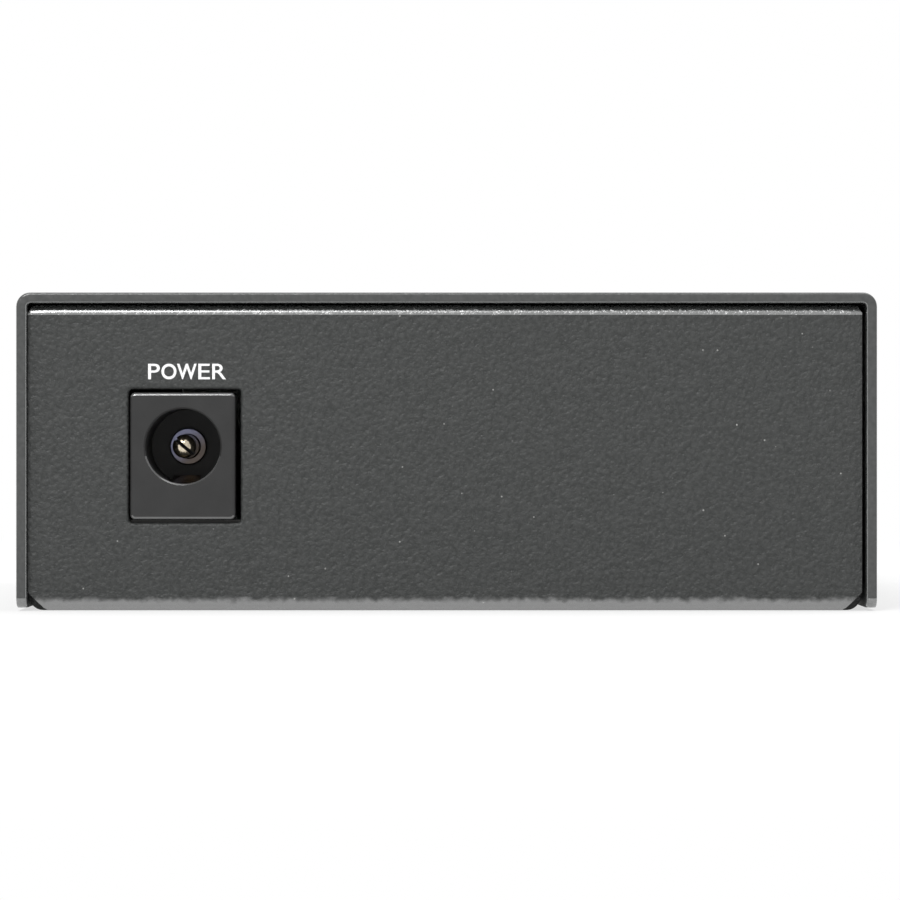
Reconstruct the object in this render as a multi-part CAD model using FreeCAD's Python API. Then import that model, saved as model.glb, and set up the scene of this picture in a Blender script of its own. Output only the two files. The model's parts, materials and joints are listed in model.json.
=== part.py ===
"""Fibre media converter: a small desk-top box that joins a fibre link to a copper network link.

A folded steel tray carries one circuit board, and an inverted U cover slides over the tray and is held
by two countersunk screws each side. The plain end has only the power inlet. The port end has the copper
socket, the duplex fibre receptacle, six indicator lamps and a two-position mode switch.

Frame: millimetres, +Z up, +Y towards the port end, origin at the middle of the underside.
Each piece is written to parts/NAME.step.
"""

import FreeCAD
import Part
import math
import os

# ------------------------------------------------------------------ case
case_width = 73.0
case_depth = 94.5
case_height = 27.0
sheet = 0.9  # steel sheet with its paint
fold_radius = 0.3  # inside each fold between a floor or top and its walls
top_fold_radius = 0.1  # inside the tighter folds along the top of the end panels
end_recess = 0.7  # from the cover's cut edge in to an end panel's face
top_gap = 0.1  # between the cover and the tray's top folds
side_play = 0.35  # the cover's inside width less the tray's width
tray_shift = 0.145  # the tray sits this far over to -X within that play
cover_lift = 0.25  # the cover's lower edges stay clear of the table
top_fold_depth = 6.0
top_fold_trim = 0.35  # each end of a top fold slants in by this much
cover_corner = 0.8  # rounding of the four lower corners of the cover's sides
side_flange_height = 10.0
corner_cut = 1.55  # 45 degree cut at each lower corner of an end panel
corner_slot = 0.25  # gap along Y between an end fold and a side flange

vent_count = 10  # each side
vent_pitch = 4.6
vent_width = 2.0
vent_height = 9.0
vent_middle = 17.0  # height of the middle of each slot

# ------------------------------------------------------------------ fasteners, all M3
thread_radius = 1.5
thread_clearance = 0.02
cover_screw_y = 36.0  # the screws stand this far either side of the middle
cover_screw_z = 5.4
cover_screw_length = 4.0
cover_head_radius = 2.4
cover_head_sink = 0.05
countersink_clearance = 0.1
collar_radius = 2.3  # of the threaded collar drawn inward from a side flange
collar_height = 0.9
recess_width = 0.6  # one arm of a cross recess
recess_length = 2.8
recess_depth = 0.8
standoff_height = 5.2
standoff_flats = 4.8
standoff_head_flats = 5.6
standoff_bore_depth = 4.6
board_screw_length = 4.0  # thread below the board's top
board_head_radius = 2.6
board_head_height = 1.9

# ------------------------------------------------------------------ circuit board
board_thickness = 1.6
board_end_gap = 0.75
board_side_gap = 2.5
board_hole_inset = 2.6  # from the board's side edge to a screw's axis
board_hole_rear = 17.85  # from the board's rear edge to the two rear screws
board_hole_behind = 1.2  # a front screw's head stands this far behind its port
board_hole_radius = 1.65
leg_below_board = 1.1  # how far a soldered leg comes through
leg_play = 0.12  # around a leg in its hole

# ------------------------------------------------------------------ power inlet, 5.5 by 2.1
jack_x = -22.25
jack_width = 9.0
jack_height = 10.85
jack_length = 14.4
jack_face_depth = 3.4  # the square face block, in front of the round-backed body
jack_proud = 0.2  # beyond the panel's face
jack_axis_height = 6.25  # above the board
jack_corner = 0.45
jack_edge = 0.3
jack_bore_radius = 3.2
jack_bore_depth = 9.6
jack_rim = 0.12
jack_window_gap = 0.25  # around the face in the panel's window
jack_window_shift = 0.16  # the window's middle lies this far to +X of the inlet's
window_corner = 0.3
pin_radius = 1.0
pin_recess = 1.5  # from the face in to the tip
pin_tip_round = 0.55
pin_slit = 0.28
pin_slit_length = 4.0
pin_slit_angle = 45.0
pin_collar_radius = 1.6
pin_collar_length = 0.8
pin_tail_length = 3.0  # through the back wall to the terminal
pin_terminal_width = 2.6
pin_terminal_rise = 1.8  # above the pin's axis
contact_strip = 0.3  # sheet that the inlet's contacts are cut from
spring_width = 2.4
spring_tip = 2.5  # from the face in to the sleeve spring's free end
spring_crest = 7.3
spring_leg = 9.0
spring_tip_drop = 3.95  # below the bore's axis
spring_crest_drop = 2.75
spring_heel_drop = 4.1
slot_play = 0.3  # around a contact in the housing
break_strip_y = 4.2  # from the face in to the middle of the break contact
break_strip_width = 2.0
break_strip_drop = 4.75  # top of the break contact below the bore's axis
break_leg_x = 3.7  # from the inlet's middle out to the leg

# ------------------------------------------------------------------ copper socket, 8 way
socket_x = -18.25
socket_width = 15.9
socket_height = 13.4
socket_depth = 21.0
socket_proud = 0.4
socket_window_gap = 0.3
shield_sheet = 0.3
shield_leg_width = 1.6
shield_leg_back = 9.0  # from the front face to the legs
plug_width = 11.9
plug_height = 6.8
plug_roof = 2.0  # from the plug space up to the socket's top
plug_depth = 13.5
latch_width = 6.2
latch_drop = 1.7
latch_tip_width = 3.4
latch_tip_drop = 1.0
wire_count = 8
wire_pitch = 1.02
wire_size = 0.35
wire_front = 5.2  # from the front face in to the wires' bend
wire_drop = 1.1  # from the level run down to the turn back
wire_end = 12.3  # and to their free ends
wire_dip = 2.3  # free ends below the plug space's top
wire_roof = 0.45  # the wires' level run above the plug space
wire_chamber_gap = 0.35
wire_chamber_wall = 2.4  # between the plug space and the wires' chamber
wire_leg_back = 17.3

# ------------------------------------------------------------------ duplex fibre transceiver
fibre_x = 13.95
fibre_width = 25.4
fibre_height = 10.0
fibre_length = 39.0
fibre_lift = 0.3  # above the board
fibre_proud = 0.6
fibre_window_gap = 0.25
fibre_pitch = 12.7
port_width = 9.1
port_height = 7.6
port_depth = 13.0
port_lead_in = 0.35
key_width = 2.4
key_depth = 0.8
receptacle_length = 15.0
peg_size = 1.7
peg_spacing = 20.32
peg_back = 12.4  # from the receptacle's face to its two pegs
latch_plate = 1.2
latch_arm_length = 8.2
latch_arm_thickness = 0.8
latch_arm_height = 3.4
latch_arm_gap = 0.35  # between an arm and the port's wall
latch_hook = 0.6
latch_hook_length = 1.8
ferrule_radius = 1.25
ferrule_depth = 6.0
optic_nose_radius = 2.15
optic_nose_length = 7.6  # beyond the port's back wall
optic_seat_radius = 2.9
optic_can_length = 3.6
optic_lead_size = 0.4
optic_lead_pitch = 1.8
optic_lead_length = 3.0
shell_wall = 0.8
fibre_board_thickness = 1.0
fibre_board_gap = 0.4
fibre_pin_count = 9
fibre_pin_pitch = 2.54
fibre_pin_size = 0.5
fibre_pin_inset = 3.2  # from the shell's back face to the pin row

# ------------------------------------------------------------------ indicator lamps
lamp_columns = 3
lamp_rows = 2
lamp_middle_x = -4.55
lamp_column_pitch = 3.6
lamp_row_pitch = 4.0
lamp_row_height = 8.3  # lower row's axis above the board
lamp_radius = 1.45
lamp_slope = 0.7
lamp_base_length = 6.4  # from the lamp's back to the foot of its dome
lamp_tip_recess = 0.4  # the domes end this far inside the cover's cut edge
lamp_hole_radius = 1.6
lamp_block_width = 11.2
lamp_block_edge = 2.2  # from a lamp's axis to the block's top or bottom
lamp_block_gap = 0.45  # behind the panel
lamp_block_depth = 8.2
lamp_bore_clearance = 0.05
lamp_leg_width = 1.3
lamp_leg_depth = 3.2
lamp_lead_size = 0.45
lamp_lead_pitch = 1.27
lamp_lead_gap = 0.3  # from the block's back to the lower row's leads
lamp_lead_step = 0.9  # the upper row's leads drop this far behind the lower row's

# ------------------------------------------------------------------ mode switch
switch_width = 8.6
switch_height = 3.7
switch_depth = 4.3
switch_gap = 0.35  # behind the panel
switch_sheet = 0.3
switch_travel = 2.0
switch_play = 0.2  # around the slider
knob_width = 1.7
knob_height = 1.7
knob_tip_recess = 0.2  # the knob's tip ends this far inside the cover's cut edge
slider_width = 3.4
slider_depth = 1.6
switch_leg_count = 3
switch_leg_pitch = 2.5
switch_leg_size = 0.5

# ------------------------------------------------------------------ components on the board
chip_lead_size = 0.3
chip_body_lift = 0.15  # a leaded package's body clears the board by this much
controller_x = -7.5
controller_y = -3.0
controller_size = 10.0
controller_height = 1.4
controller_lead_count = 8
controller_lead_pitch = 1.0
controller_lead_reach = 1.0
magnetics_gap = 8.0  # behind the socket
magnetics_width = 12.7
magnetics_depth = 7.0
magnetics_height = 5.6
magnetics_lead_count = 8
magnetics_lead_pitch = 1.5
magnetics_lead_reach = 1.3
crystal_x = -23.0
crystal_y = -3.0
crystal_length = 11.0
crystal_width = 4.6
crystal_height = 3.5
regulator_x = 7.0
regulator_from_end = 25.35  # power components are placed from the rear panel's inner face
regulator_width = 6.5
regulator_depth = 3.5
regulator_height = 1.6
coil_x = -7.0
coil_from_end = 21.35
coil_size = 7.3
coil_height = 4.4
capacitor_count = 3
capacitor_first_x = -8.0
capacitor_pitch = 11.5
capacitor_from_end = 7.85
capacitor_radius = 4.0
capacitor_height = 11.5
capacitor_lead_size = 0.5
capacitor_lead_pitch = 3.5
diode_x = 7.0
diode_from_end = 17.35
diode_length = 4.3
diode_width = 2.6
diode_height = 2.2

few_sides = 12  # small round things that repeat are drawn with this many sides

# ------------------------------------------------------------------ levels and faces that follow
outer_fold = fold_radius + sheet
outer_top_fold = top_fold_radius + sheet
tray_width = case_width - 2 * sheet - side_play
tray_depth = case_depth - 2 * end_recess
tray_height = case_height - sheet - top_gap
panel_face = tray_depth / 2
panel_back = panel_face - sheet
flange_end = panel_face - outer_fold - corner_slot
flange_inside = tray_width / 2 - sheet
board_bottom = sheet + standoff_height
board_top = board_bottom + board_thickness
board_half_width = flange_inside - board_side_gap
board_half_depth = panel_back - board_end_gap
leg_bottom = board_bottom - leg_below_board
cover_screw_places = [
    (side, end * cover_screw_y) for side in (-1, 1) for end in (-1, 1)
]

jack_face = -panel_face - jack_proud
jack_axis = board_top + jack_axis_height
jack_back_wall = jack_face + jack_bore_depth
pin_terminal_y = jack_back_wall + pin_tail_length

socket_face = panel_face + socket_proud
socket_back = socket_face - socket_depth
plug_high = board_top + socket_height - plug_roof
plug_low = plug_high - plug_height
plug_back = socket_face - plug_depth
wire_y = socket_face - wire_leg_back

fibre_face = panel_face + fibre_proud
fibre_low = board_top + fibre_lift
fibre_axis = fibre_low + fibre_height / 2
receptacle_back = fibre_face - receptacle_length
port_back = fibre_face - port_depth
fibre_back = fibre_face - fibre_length
fibre_port_x = [fibre_x + side * fibre_pitch / 2 for side in (-1, 1)]
fibre_board_low = fibre_axis - fibre_board_thickness / 2
fibre_pin_y = fibre_back + fibre_pin_inset
fibre_pin_x = [
    fibre_x + (n - (fibre_pin_count - 1) / 2) * fibre_pin_pitch
    for n in range(fibre_pin_count)
]

board_hole_x = board_half_width - board_hole_inset
board_hole_rear_y = board_hole_rear - board_half_depth
board_screw_places = [
    (-board_hole_x, board_hole_rear_y),
    (board_hole_x, board_hole_rear_y),
    (-board_hole_x, socket_back - board_hole_behind - board_head_radius),
    (board_hole_x, fibre_back - board_hole_behind - board_head_radius),
]

lamp_block_front = panel_back - lamp_block_gap
lamp_block_back = lamp_block_front - lamp_block_depth
lamp_tip = case_depth / 2 - lamp_tip_recess
lamp_back = lamp_tip - lamp_radius - lamp_base_length
lamp_places = [
    (
        lamp_middle_x + (column - (lamp_columns - 1) / 2) * lamp_column_pitch,
        board_top + lamp_row_height + row * lamp_row_pitch,
        lamp_block_back - lamp_lead_gap - row * lamp_lead_step,
    )
    for row in range(lamp_rows)
    for column in range(lamp_columns)
]

switch_front = panel_back - switch_gap
switch_back = switch_front - switch_depth
switch_axis = board_top + switch_height / 2
switch_window = knob_width + switch_travel + 2 * switch_play

magnetics_y = socket_back - magnetics_gap - magnetics_depth / 2
regulator_y = regulator_from_end - panel_back
coil_y = coil_from_end - panel_back
diode_y = diode_from_end - panel_back
capacitor_places = [
    (capacitor_first_x + n * capacitor_pitch, capacitor_from_end - panel_back)
    for n in range(capacitor_count)
]
capacitor_leads = [
    (x, y + side * capacitor_lead_pitch / 2)
    for x, y in capacitor_places
    for side in (-1, 1)
]


# ------------------------------------------------------------------ shapes that several pieces use
def vec(x, y, z):
    return FreeCAD.Vector(x, y, z)


PLANES = {  # how a flat section is stood up, and the way it is then swept
    "XY": (FreeCAD.Rotation(vec(0, 0, 1), 0), vec(0, 0, 1)),
    "XZ": (FreeCAD.Rotation(vec(1, 0, 0), 90), vec(0, 1, 0)),
    "YZ": (FreeCAD.Rotation(vec(1, 1, 1), 120), vec(1, 0, 0)),
}


def span(middle, size):
    """The lowest and highest value of a length about its middle."""
    return middle - size / 2, middle + size / 2


def block(x, y, z):
    """A box from its (low, high) limits along each axis."""
    return Part.makeBox(x[1] - x[0], y[1] - y[0], z[1] - z[0], vec(x[0], y[0], z[0]))


def rod(radius, start, direction, length):
    return Part.makeCylinder(radius, length, vec(*start), vec(*direction))


def bar(radius, start, direction, length, sides=few_sides):
    """A bar with few sides, for small pieces and holes; its corners lie at the radius."""
    turns = [2 * math.pi * n / sides for n in range(sides)]
    section = outline([(radius * math.cos(turn), radius * math.sin(turn)) for turn in turns])
    solid = section.extrude(vec(0, 0, length))
    solid.Placement = FreeCAD.Placement(
        vec(*start), FreeCAD.Rotation(vec(0, 0, 1), vec(*direction))
    )
    return solid


def hole_of(radius):
    """The corner radius of a few-sided hole that just lets a round thing in."""
    return radius / math.cos(math.pi / few_sides)


def drawn(section, plane, through):
    """A flat section in the plane's own axes, swept through (low, high)."""
    rotation, along = PLANES[plane]
    placed = section.copy()
    placed.Placement = FreeCAD.Placement(along * through[0], rotation)
    return placed.extrude(along * (through[1] - through[0]))


def outline(points):
    return Part.Face(Part.makePolygon([vec(u, v, 0) for u, v in points + points[:1]]))


def rounded_box(x, y, z, radius, axis):
    """A box whose four edges along one axis are rounded."""
    box = block(x, y, z)
    along = [e for e in box.Edges if abs(e.tangentAt(e.FirstParameter).dot(axis)) > 0.99]
    return box.makeFillet(radius, along)


def turned(profile, start, direction):
    """A profile of (radius, distance) points turned about an axis."""
    points = [vec(radius, 0, distance) for radius, distance in profile]
    face = Part.Face(Part.makePolygon(points + points[:1]))
    solid = face.revolve(vec(0, 0, 0), vec(0, 0, 1), 360)
    solid.Placement = FreeCAD.Placement(
        vec(*start), FreeCAD.Rotation(vec(0, 0, 1), vec(*direction))
    )
    return solid


def left_of(step):
    return vec(-step.y, step.x, 0)


def skin(corners, radii):
    """Straight runs joined by tangent arcs, along one skin of a folded strip."""
    edges, start = [], corners[0]
    for before, corner, after, radius in zip(corners, corners[1:], corners[2:], radii):
        inward = (corner - before).normalize()
        outward = (after - corner).normalize()
        turn = inward.getAngle(outward)
        reach = radius * math.tan(turn / 2)
        first = corner - inward * reach
        last = corner + outward * reach
        bulge = radius * (1 / math.cos(turn / 2) - 1)
        middle = corner + (outward - inward).normalize() * bulge
        edges.append(Part.LineSegment(start, first).toShape())
        edges.append(Part.Arc(first, middle, last).toShape())
        start = last
    edges.append(Part.LineSegment(start, corners[-1]).toShape())
    return edges


def other_skin(points, thickness):
    """The corners of the skin that lies a strip's thickness to the left of the points."""
    steps = [(b - a).normalize() for a, b in zip(points, points[1:])]
    sides = [left_of(step) for step in steps]
    corners = [points[0] + sides[0] * thickness]
    for corner, side, next_side in zip(points[1:], sides, sides[1:]):
        corners.append(corner + (side + next_side) * (thickness / (1 + side.dot(next_side))))
    return corners + [points[-1] + sides[-1] * thickness]


def folded(points, thickness, inside_radii):
    """The section of a strip with round folds: points follow one skin, and it lies to their left."""
    near = [vec(u, v, 0) for u, v in points]
    far = other_skin(near, thickness)
    near_radii, far_radii = [], []
    for before, corner, after, inside_radius in zip(near, near[1:], near[2:], inside_radii):
        turns_left = (corner - before).cross(after - corner).z > 0
        near_radii.append(inside_radius + (thickness if turns_left else 0))
        far_radii.append(inside_radius + (0 if turns_left else thickness))
    ends = [
        Part.LineSegment(near[-1], far[-1]).toShape(),
        Part.LineSegment(far[0], near[0]).toShape(),
    ]
    edges = skin(near, near_radii) + ends + skin(far[::-1], far_radii[::-1])
    return Part.Face(Part.Wire(Part.__sortEdges__(edges)))


def creased(points, thickness):
    """The section of a thin strip or wire with sharp bends, lying to the left of its points."""
    near = [vec(u, v, 0) for u, v in points]
    corners = near + other_skin(near, thickness)[::-1]
    return Part.Face(Part.makePolygon(corners + corners[:1]))


def cross_recess(place, axis, depth):
    """The two crossed slots of a screw's drive, sunk from its face against its axis."""
    arms = [
        block(span(0, recess_length), span(0, recess_width), (-depth, depth)),
        block(span(0, recess_width), span(0, recess_length), (-depth, depth)),
    ]
    drive = arms[0].fuse(arms[1])
    drive.Placement = FreeCAD.Placement(
        vec(*place), FreeCAD.Rotation(vec(0, 0, 1), vec(*axis))
    )
    return drive


def square_leg(x, y, size, top):
    """A square leg from a given height down through the board."""
    return block(span(x, size), span(y, size), (leg_bottom, top))


def group(solids):
    return Part.makeCompound(solids)


# ------------------------------------------------------------------ case
def tray():
    """One folded blank: floor, two end panels with top folds, and two side flanges."""
    half = tray_depth / 2
    ends_section = folded(
        [
            (-half + top_fold_depth, tray_height),
            (-half, tray_height),
            (-half, 0),
            (half, 0),
            (half, tray_height),
            (half - top_fold_depth, tray_height),
        ],
        sheet,
        [top_fold_radius, fold_radius, fold_radius, top_fold_radius],
    )
    body = drawn(ends_section, "YZ", span(0, tray_width))
    sides_section = folded(
        [
            (-tray_width / 2, side_flange_height),
            (-tray_width / 2, 0),
            (tray_width / 2, 0),
            (tray_width / 2, side_flange_height),
        ],
        sheet,
        [fold_radius, fold_radius],
    )
    flanges = drawn(sides_section, "XZ", (-flange_end, flange_end))
    for side in (-1, 1):
        edge = side * tray_width / 2
        beside_fold = sorted((edge - side * outer_fold, edge + side))
        body = body.cut(block(beside_fold, (-flange_end, flange_end), (-1, sheet + 1)))
        slant = outline(
            [
                (edge, tray_height - outer_top_fold),
                (edge, case_height),
                (edge - side * top_fold_trim, case_height),
                (edge - side * top_fold_trim, tray_height),
            ]
        )
        body = body.cut(drawn(slant, "XZ", span(0, 2 * case_depth)))
        corner = outline([(edge - side * corner_cut, 0), (edge, corner_cut), (edge, 0)])
        for end in (-1, 1):
            ends = sorted((end * flange_end, end * case_depth))
            body = body.cut(drawn(corner, "XZ", ends))
            slot = sorted((end * flange_end, end * (flange_end + corner_slot)))
            body = body.cut(block(beside_fold, slot, (-1, sheet + 1)))
    body = body.fuse(flanges).removeSplitter()
    body = body.fuse([collar(side, y, collar_radius) for side, y in cover_screw_places])
    return body.cut(list(tray_cutters()))


def collar(side, y, radius):
    """The collar of one cover screw's hole, or at the thread's radius the hole itself."""
    start = (side * (flange_inside - collar_height), y, cover_screw_z)
    return bar(radius, start, (side, 0, 0), collar_height + sheet)


def tray_cutters():
    """Windows in the end panels, threaded holes in the flanges, and seats for the standoffs."""
    rear = (-panel_face - 1, -panel_back + 1)
    front = (panel_back - 1, panel_face + 1)
    along = vec(0, 1, 0)
    yield rounded_box(
        span(jack_x + jack_window_shift, jack_width + 2 * jack_window_gap),
        rear,
        (board_top - jack_window_gap, board_top + jack_height + jack_window_gap),
        window_corner,
        along,
    )
    yield block(
        span(socket_x, socket_width + 2 * socket_window_gap),
        front,
        (board_top - socket_window_gap, board_top + socket_height + socket_window_gap),
    )
    yield block(
        span(fibre_x, fibre_width + 2 * fibre_window_gap),
        front,
        (fibre_low - fibre_window_gap, fibre_low + fibre_height + fibre_window_gap),
    )
    yield block(
        span(lamp_middle_x, switch_window + 2 * switch_play),
        front,
        span(switch_axis, knob_height + 4 * switch_play),
    )
    for x, z, _ in lamp_places:
        start = (x, front[0], z)
        yield bar(hole_of(lamp_hole_radius), start, (0, 1, 0), front[1] - front[0])
    for side, y in cover_screw_places:
        yield collar(side, y, hole_of(thread_radius + thread_clearance))
    for x, y in board_screw_places:
        yield standoff_bar(x, y, standoff_head_flats, (-1, sheet + 1))


def cover():
    """One folded blank: top and two sides, with cooling slots and countersunk screw holes."""
    section = folded(
        [
            (case_width / 2, cover_lift),
            (case_width / 2, case_height),
            (-case_width / 2, case_height),
            (-case_width / 2, cover_lift),
        ],
        sheet,
        [fold_radius, fold_radius],
    )
    body = drawn(section, "XZ", span(0, case_depth))
    corners = [
        e for e in body.Edges
        if abs(e.CenterOfMass.z - cover_lift) < 1e-6
        and abs(abs(e.CenterOfMass.y) - case_depth / 2) < 1e-6
    ]  # fmt: skip
    body = body.makeFillet(cover_corner, corners)
    slots = [vent_slot((n - (vent_count - 1) / 2) * vent_pitch) for n in range(vent_count)]
    sinks = []
    for side, y in cover_screw_places:
        mouth = cover_head_radius + countersink_clearance
        cone = [(0, 0), (mouth, 0), (mouth - sheet, -sheet), (0, -sheet)]
        place = (side * case_width / 2, y, cover_screw_z)
        sinks.append(turned(cone, place, (side, 0, 0)))
    return body.cut(slots + sinks)


def vent_slot(y):
    """One slot right across the cover, its round ends drawn with few sides."""
    radius = vent_width / 2
    points = []
    for end, turns in ((1, range(0, 181, 45)), (-1, range(180, 361, 45))):
        middle = vent_middle + end * (vent_height / 2 - radius)
        for turn in turns:
            angle = math.radians(turn)
            points.append((y + radius * math.cos(angle), middle + radius * math.sin(angle)))
    return drawn(outline(points), "YZ", span(0, case_width + 2))


def cover_screws():
    """Countersunk screws, heads just below the cover's face."""
    head_depth = cover_head_radius - thread_radius
    head = [(0, 0), (cover_head_radius, 0), (thread_radius, -head_depth), (0, -head_depth)]
    screws = []
    for side, y in cover_screw_places:
        outward = (side, 0, 0)
        place = (side * (case_width / 2 - cover_head_sink), y, cover_screw_z)
        end = (place[0] - side * cover_screw_length, y, cover_screw_z)
        shank = bar(thread_radius, end, outward, cover_screw_length - head_depth)
        screw = turned(head, place, outward).fuse(shank)
        screws.append(screw.cut(cross_recess(place, outward, recess_depth)))
    return group(screws)


def standoff_bar(x, y, flats, z):
    """A six-sided bar of a given size across its flats, standing on Z."""
    return bar(flats / math.sqrt(3), (x, y, z[0]), (0, 0, 1), z[1] - z[0], 6)


def standoffs():
    """Six-sided standoffs pressed into the floor, with larger heads flush with the underside."""
    pieces = []
    for x, y in board_screw_places:
        post = standoff_bar(x, y, standoff_flats, (0, board_bottom))
        head = standoff_bar(x, y, standoff_head_flats, (0, sheet))
        bore = bar(
            hole_of(thread_radius + thread_clearance),
            (x, y, board_bottom - standoff_bore_depth),
            (0, 0, 1),
            standoff_bore_depth,
        )
        pieces.append(post.fuse(head).cut(bore))
    return group(pieces)


def board_screws():
    """Pan head screws through the board."""
    screws = []
    for x, y in board_screw_places:
        head = bar(board_head_radius, (x, y, board_top), (0, 0, 1), board_head_height)
        low = (x, y, board_top - board_screw_length)
        shank = bar(thread_radius, low, (0, 0, 1), board_screw_length)
        top = (x, y, board_top + board_head_height)
        screws.append(head.fuse(shank).cut(cross_recess(top, (0, 0, 1), recess_depth)))
    return group(screws)


# ------------------------------------------------------------------ circuit board
def leg_holes():
    """Where soldered legs come through the board: (x, y, width, depth) of each."""
    yield jack_x, pin_terminal_y + contact_strip / 2, pin_terminal_width, contact_strip
    yield jack_x, jack_face + spring_leg + contact_strip / 2, spring_width, contact_strip
    yield (
        jack_x + break_leg_x - contact_strip / 2,
        jack_face + break_strip_y,
        contact_strip,
        break_strip_width,
    )
    for x in wire_places():
        yield x, wire_y + wire_size / 2, wire_size, wire_size
    for side in (-1, 1):
        x = socket_x + side * (socket_width - shield_sheet) / 2
        yield x, socket_face - shield_leg_back, shield_sheet, shield_leg_width
    for x in peg_places():
        yield x, fibre_face - peg_back, peg_size, peg_size
    for x in fibre_pin_x:
        yield x, fibre_pin_y, fibre_pin_size, fibre_pin_size
    for x, _, y in lamp_places:
        for side in (-1, 1):
            lead_x = x + side * lamp_lead_pitch / 2
            yield lead_x, y - lamp_lead_size / 2, lamp_lead_size, lamp_lead_size
    for x in switch_legs():
        yield x, switch_back + switch_leg_size, switch_leg_size, switch_leg_size
    for x, y in capacitor_leads:
        yield x, y, capacitor_lead_size, capacitor_lead_size


def circuit_board():
    level = (board_bottom, board_top)
    body = block(span(0, 2 * board_half_width), span(0, 2 * board_half_depth), level)
    cutters = [
        bar(hole_of(board_hole_radius), (x, y, board_bottom), (0, 0, 1), board_thickness)
        for x, y in board_screw_places
    ]
    for x, y, width, depth in leg_holes():
        cutters.append(block(span(x, width + 2 * leg_play), span(y, depth + 2 * leg_play), level))
    return body.cut(cutters)


# ------------------------------------------------------------------ power inlet
def jack_housing():
    """Moulded inlet: a square face block, a round-backed body, and slots for its three contacts."""
    width = span(jack_x, jack_width)
    face_top = board_top + jack_height
    body_end = jack_face + jack_length
    face = rounded_box(
        width, (jack_face, jack_face + jack_face_depth), (board_top, face_top),
        jack_corner, vec(0, 1, 0),
    )  # fmt: skip
    front = [e for e in face.Edges if abs(e.CenterOfMass.y - jack_face) < 1e-6]
    face = face.makeChamfer(jack_edge, front)
    back_start = jack_face + jack_face_depth
    back = block(width, (back_start, body_end), (board_top, jack_axis)).fuse(
        rod(jack_width / 2, (jack_x, back_start, jack_axis), (0, 1, 0), body_end - back_start)
    )
    body = face.fuse(back).removeSplitter()
    bore = [
        (0, 0),
        (jack_bore_radius + jack_rim, 0),
        (jack_bore_radius, jack_rim),
        (jack_bore_radius, jack_bore_depth),
        (0, jack_bore_depth),
    ]
    cutters = [turned(bore, (jack_x, jack_face, jack_axis), (0, 1, 0))]
    cutters.append(
        rod(pin_radius, (jack_x, jack_back_wall, jack_axis), (0, 1, 0), pin_tail_length)
    )
    cutters.append(
        block(
            span(jack_x, pin_terminal_width + 2 * slot_play),
            (pin_terminal_y, body_end),
            (board_top, jack_axis + pin_terminal_rise + slot_play),
        )
    )
    spring_slot = span(jack_x, spring_width + 2 * slot_play)
    cutters.append(
        block(
            spring_slot,
            (jack_face + spring_tip - slot_play, jack_face + spring_leg + contact_strip),
            (jack_axis - spring_heel_drop - contact_strip - slot_play, jack_axis),
        )
    )
    cutters.append(
        block(
            spring_slot,
            (jack_face + spring_leg - slot_play, jack_face + spring_leg + contact_strip),
            (board_top, jack_axis - spring_heel_drop),
        )
    )
    break_slot = span(jack_face + break_strip_y, break_strip_width + 2 * slot_play)
    break_top = jack_axis - break_strip_drop
    cutters.append(
        block(
            (jack_x - spring_width / 2 - slot_play, jack_x + break_leg_x),
            break_slot,
            (break_top - contact_strip - slot_play, break_top + slot_play),
        )
    )
    cutters.append(
        block(
            (jack_x + break_leg_x - contact_strip - slot_play, jack_x + break_leg_x),
            break_slot,
            (board_top, break_top),
        )
    )
    return body.cut(cutters)


def jack_pin():
    """Turned pin with a slit, rounded tip and a collar, and the terminal riveted to its tail."""
    tip = pin_recess
    shoulder = jack_bore_depth - pin_collar_length
    tail = jack_bore_depth + pin_tail_length
    shank = turned(
        [
            (0, tip),
            (pin_radius - pin_tip_round, tip),
            (pin_radius, tip + pin_tip_round),
            (pin_radius, shoulder),
            (pin_collar_radius, shoulder),
            (pin_collar_radius, jack_bore_depth),
            (pin_radius, jack_bore_depth),
            (pin_radius, tail),
            (0, tail),
        ],
        (jack_x, jack_face, jack_axis),
        (0, 1, 0),
    )
    slit = block(span(0, 4 * pin_radius), (0, pin_slit_length), span(0, pin_slit))
    slit.Placement = FreeCAD.Placement(
        vec(jack_x, jack_face + tip - 0.01, jack_axis),
        FreeCAD.Rotation(vec(0, 1, 0), pin_slit_angle),
    )
    terminal = block(
        span(jack_x, pin_terminal_width),
        (pin_terminal_y, pin_terminal_y + contact_strip),
        (leg_bottom, jack_axis + pin_terminal_rise),
    )
    return shank.cut(slit).fuse(terminal)


def jack_spring():
    """Sleeve contact: a bowed leaf along the bottom of the bore, with its leg."""
    leg = jack_face + spring_leg
    section = folded(
        [
            (jack_face + spring_tip, jack_axis - spring_tip_drop),
            (jack_face + spring_crest, jack_axis - spring_crest_drop),
            (leg, jack_axis - spring_heel_drop),
            (leg, leg_bottom),
        ],
        contact_strip,
        [contact_strip, contact_strip],
    )
    return drawn(section, "YZ", span(jack_x, spring_width))


def jack_break_contact():
    """Contact that the leaf rests on until a plug lifts it away, with its leg at one side."""
    low = jack_axis - break_strip_drop - contact_strip
    section = folded(
        [
            (jack_x - spring_width / 2, low + contact_strip),
            (jack_x + break_leg_x, low + contact_strip),
            (jack_x + break_leg_x, leg_bottom),
        ][::-1],
        contact_strip,
        [contact_strip / 2],
    )
    return drawn(section, "XZ", span(jack_face + break_strip_y, break_strip_width))


# ------------------------------------------------------------------ copper socket
def wire_places():
    return [
        socket_x + (n - (wire_count - 1) / 2) * wire_pitch for n in range(wire_count)
    ]


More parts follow.
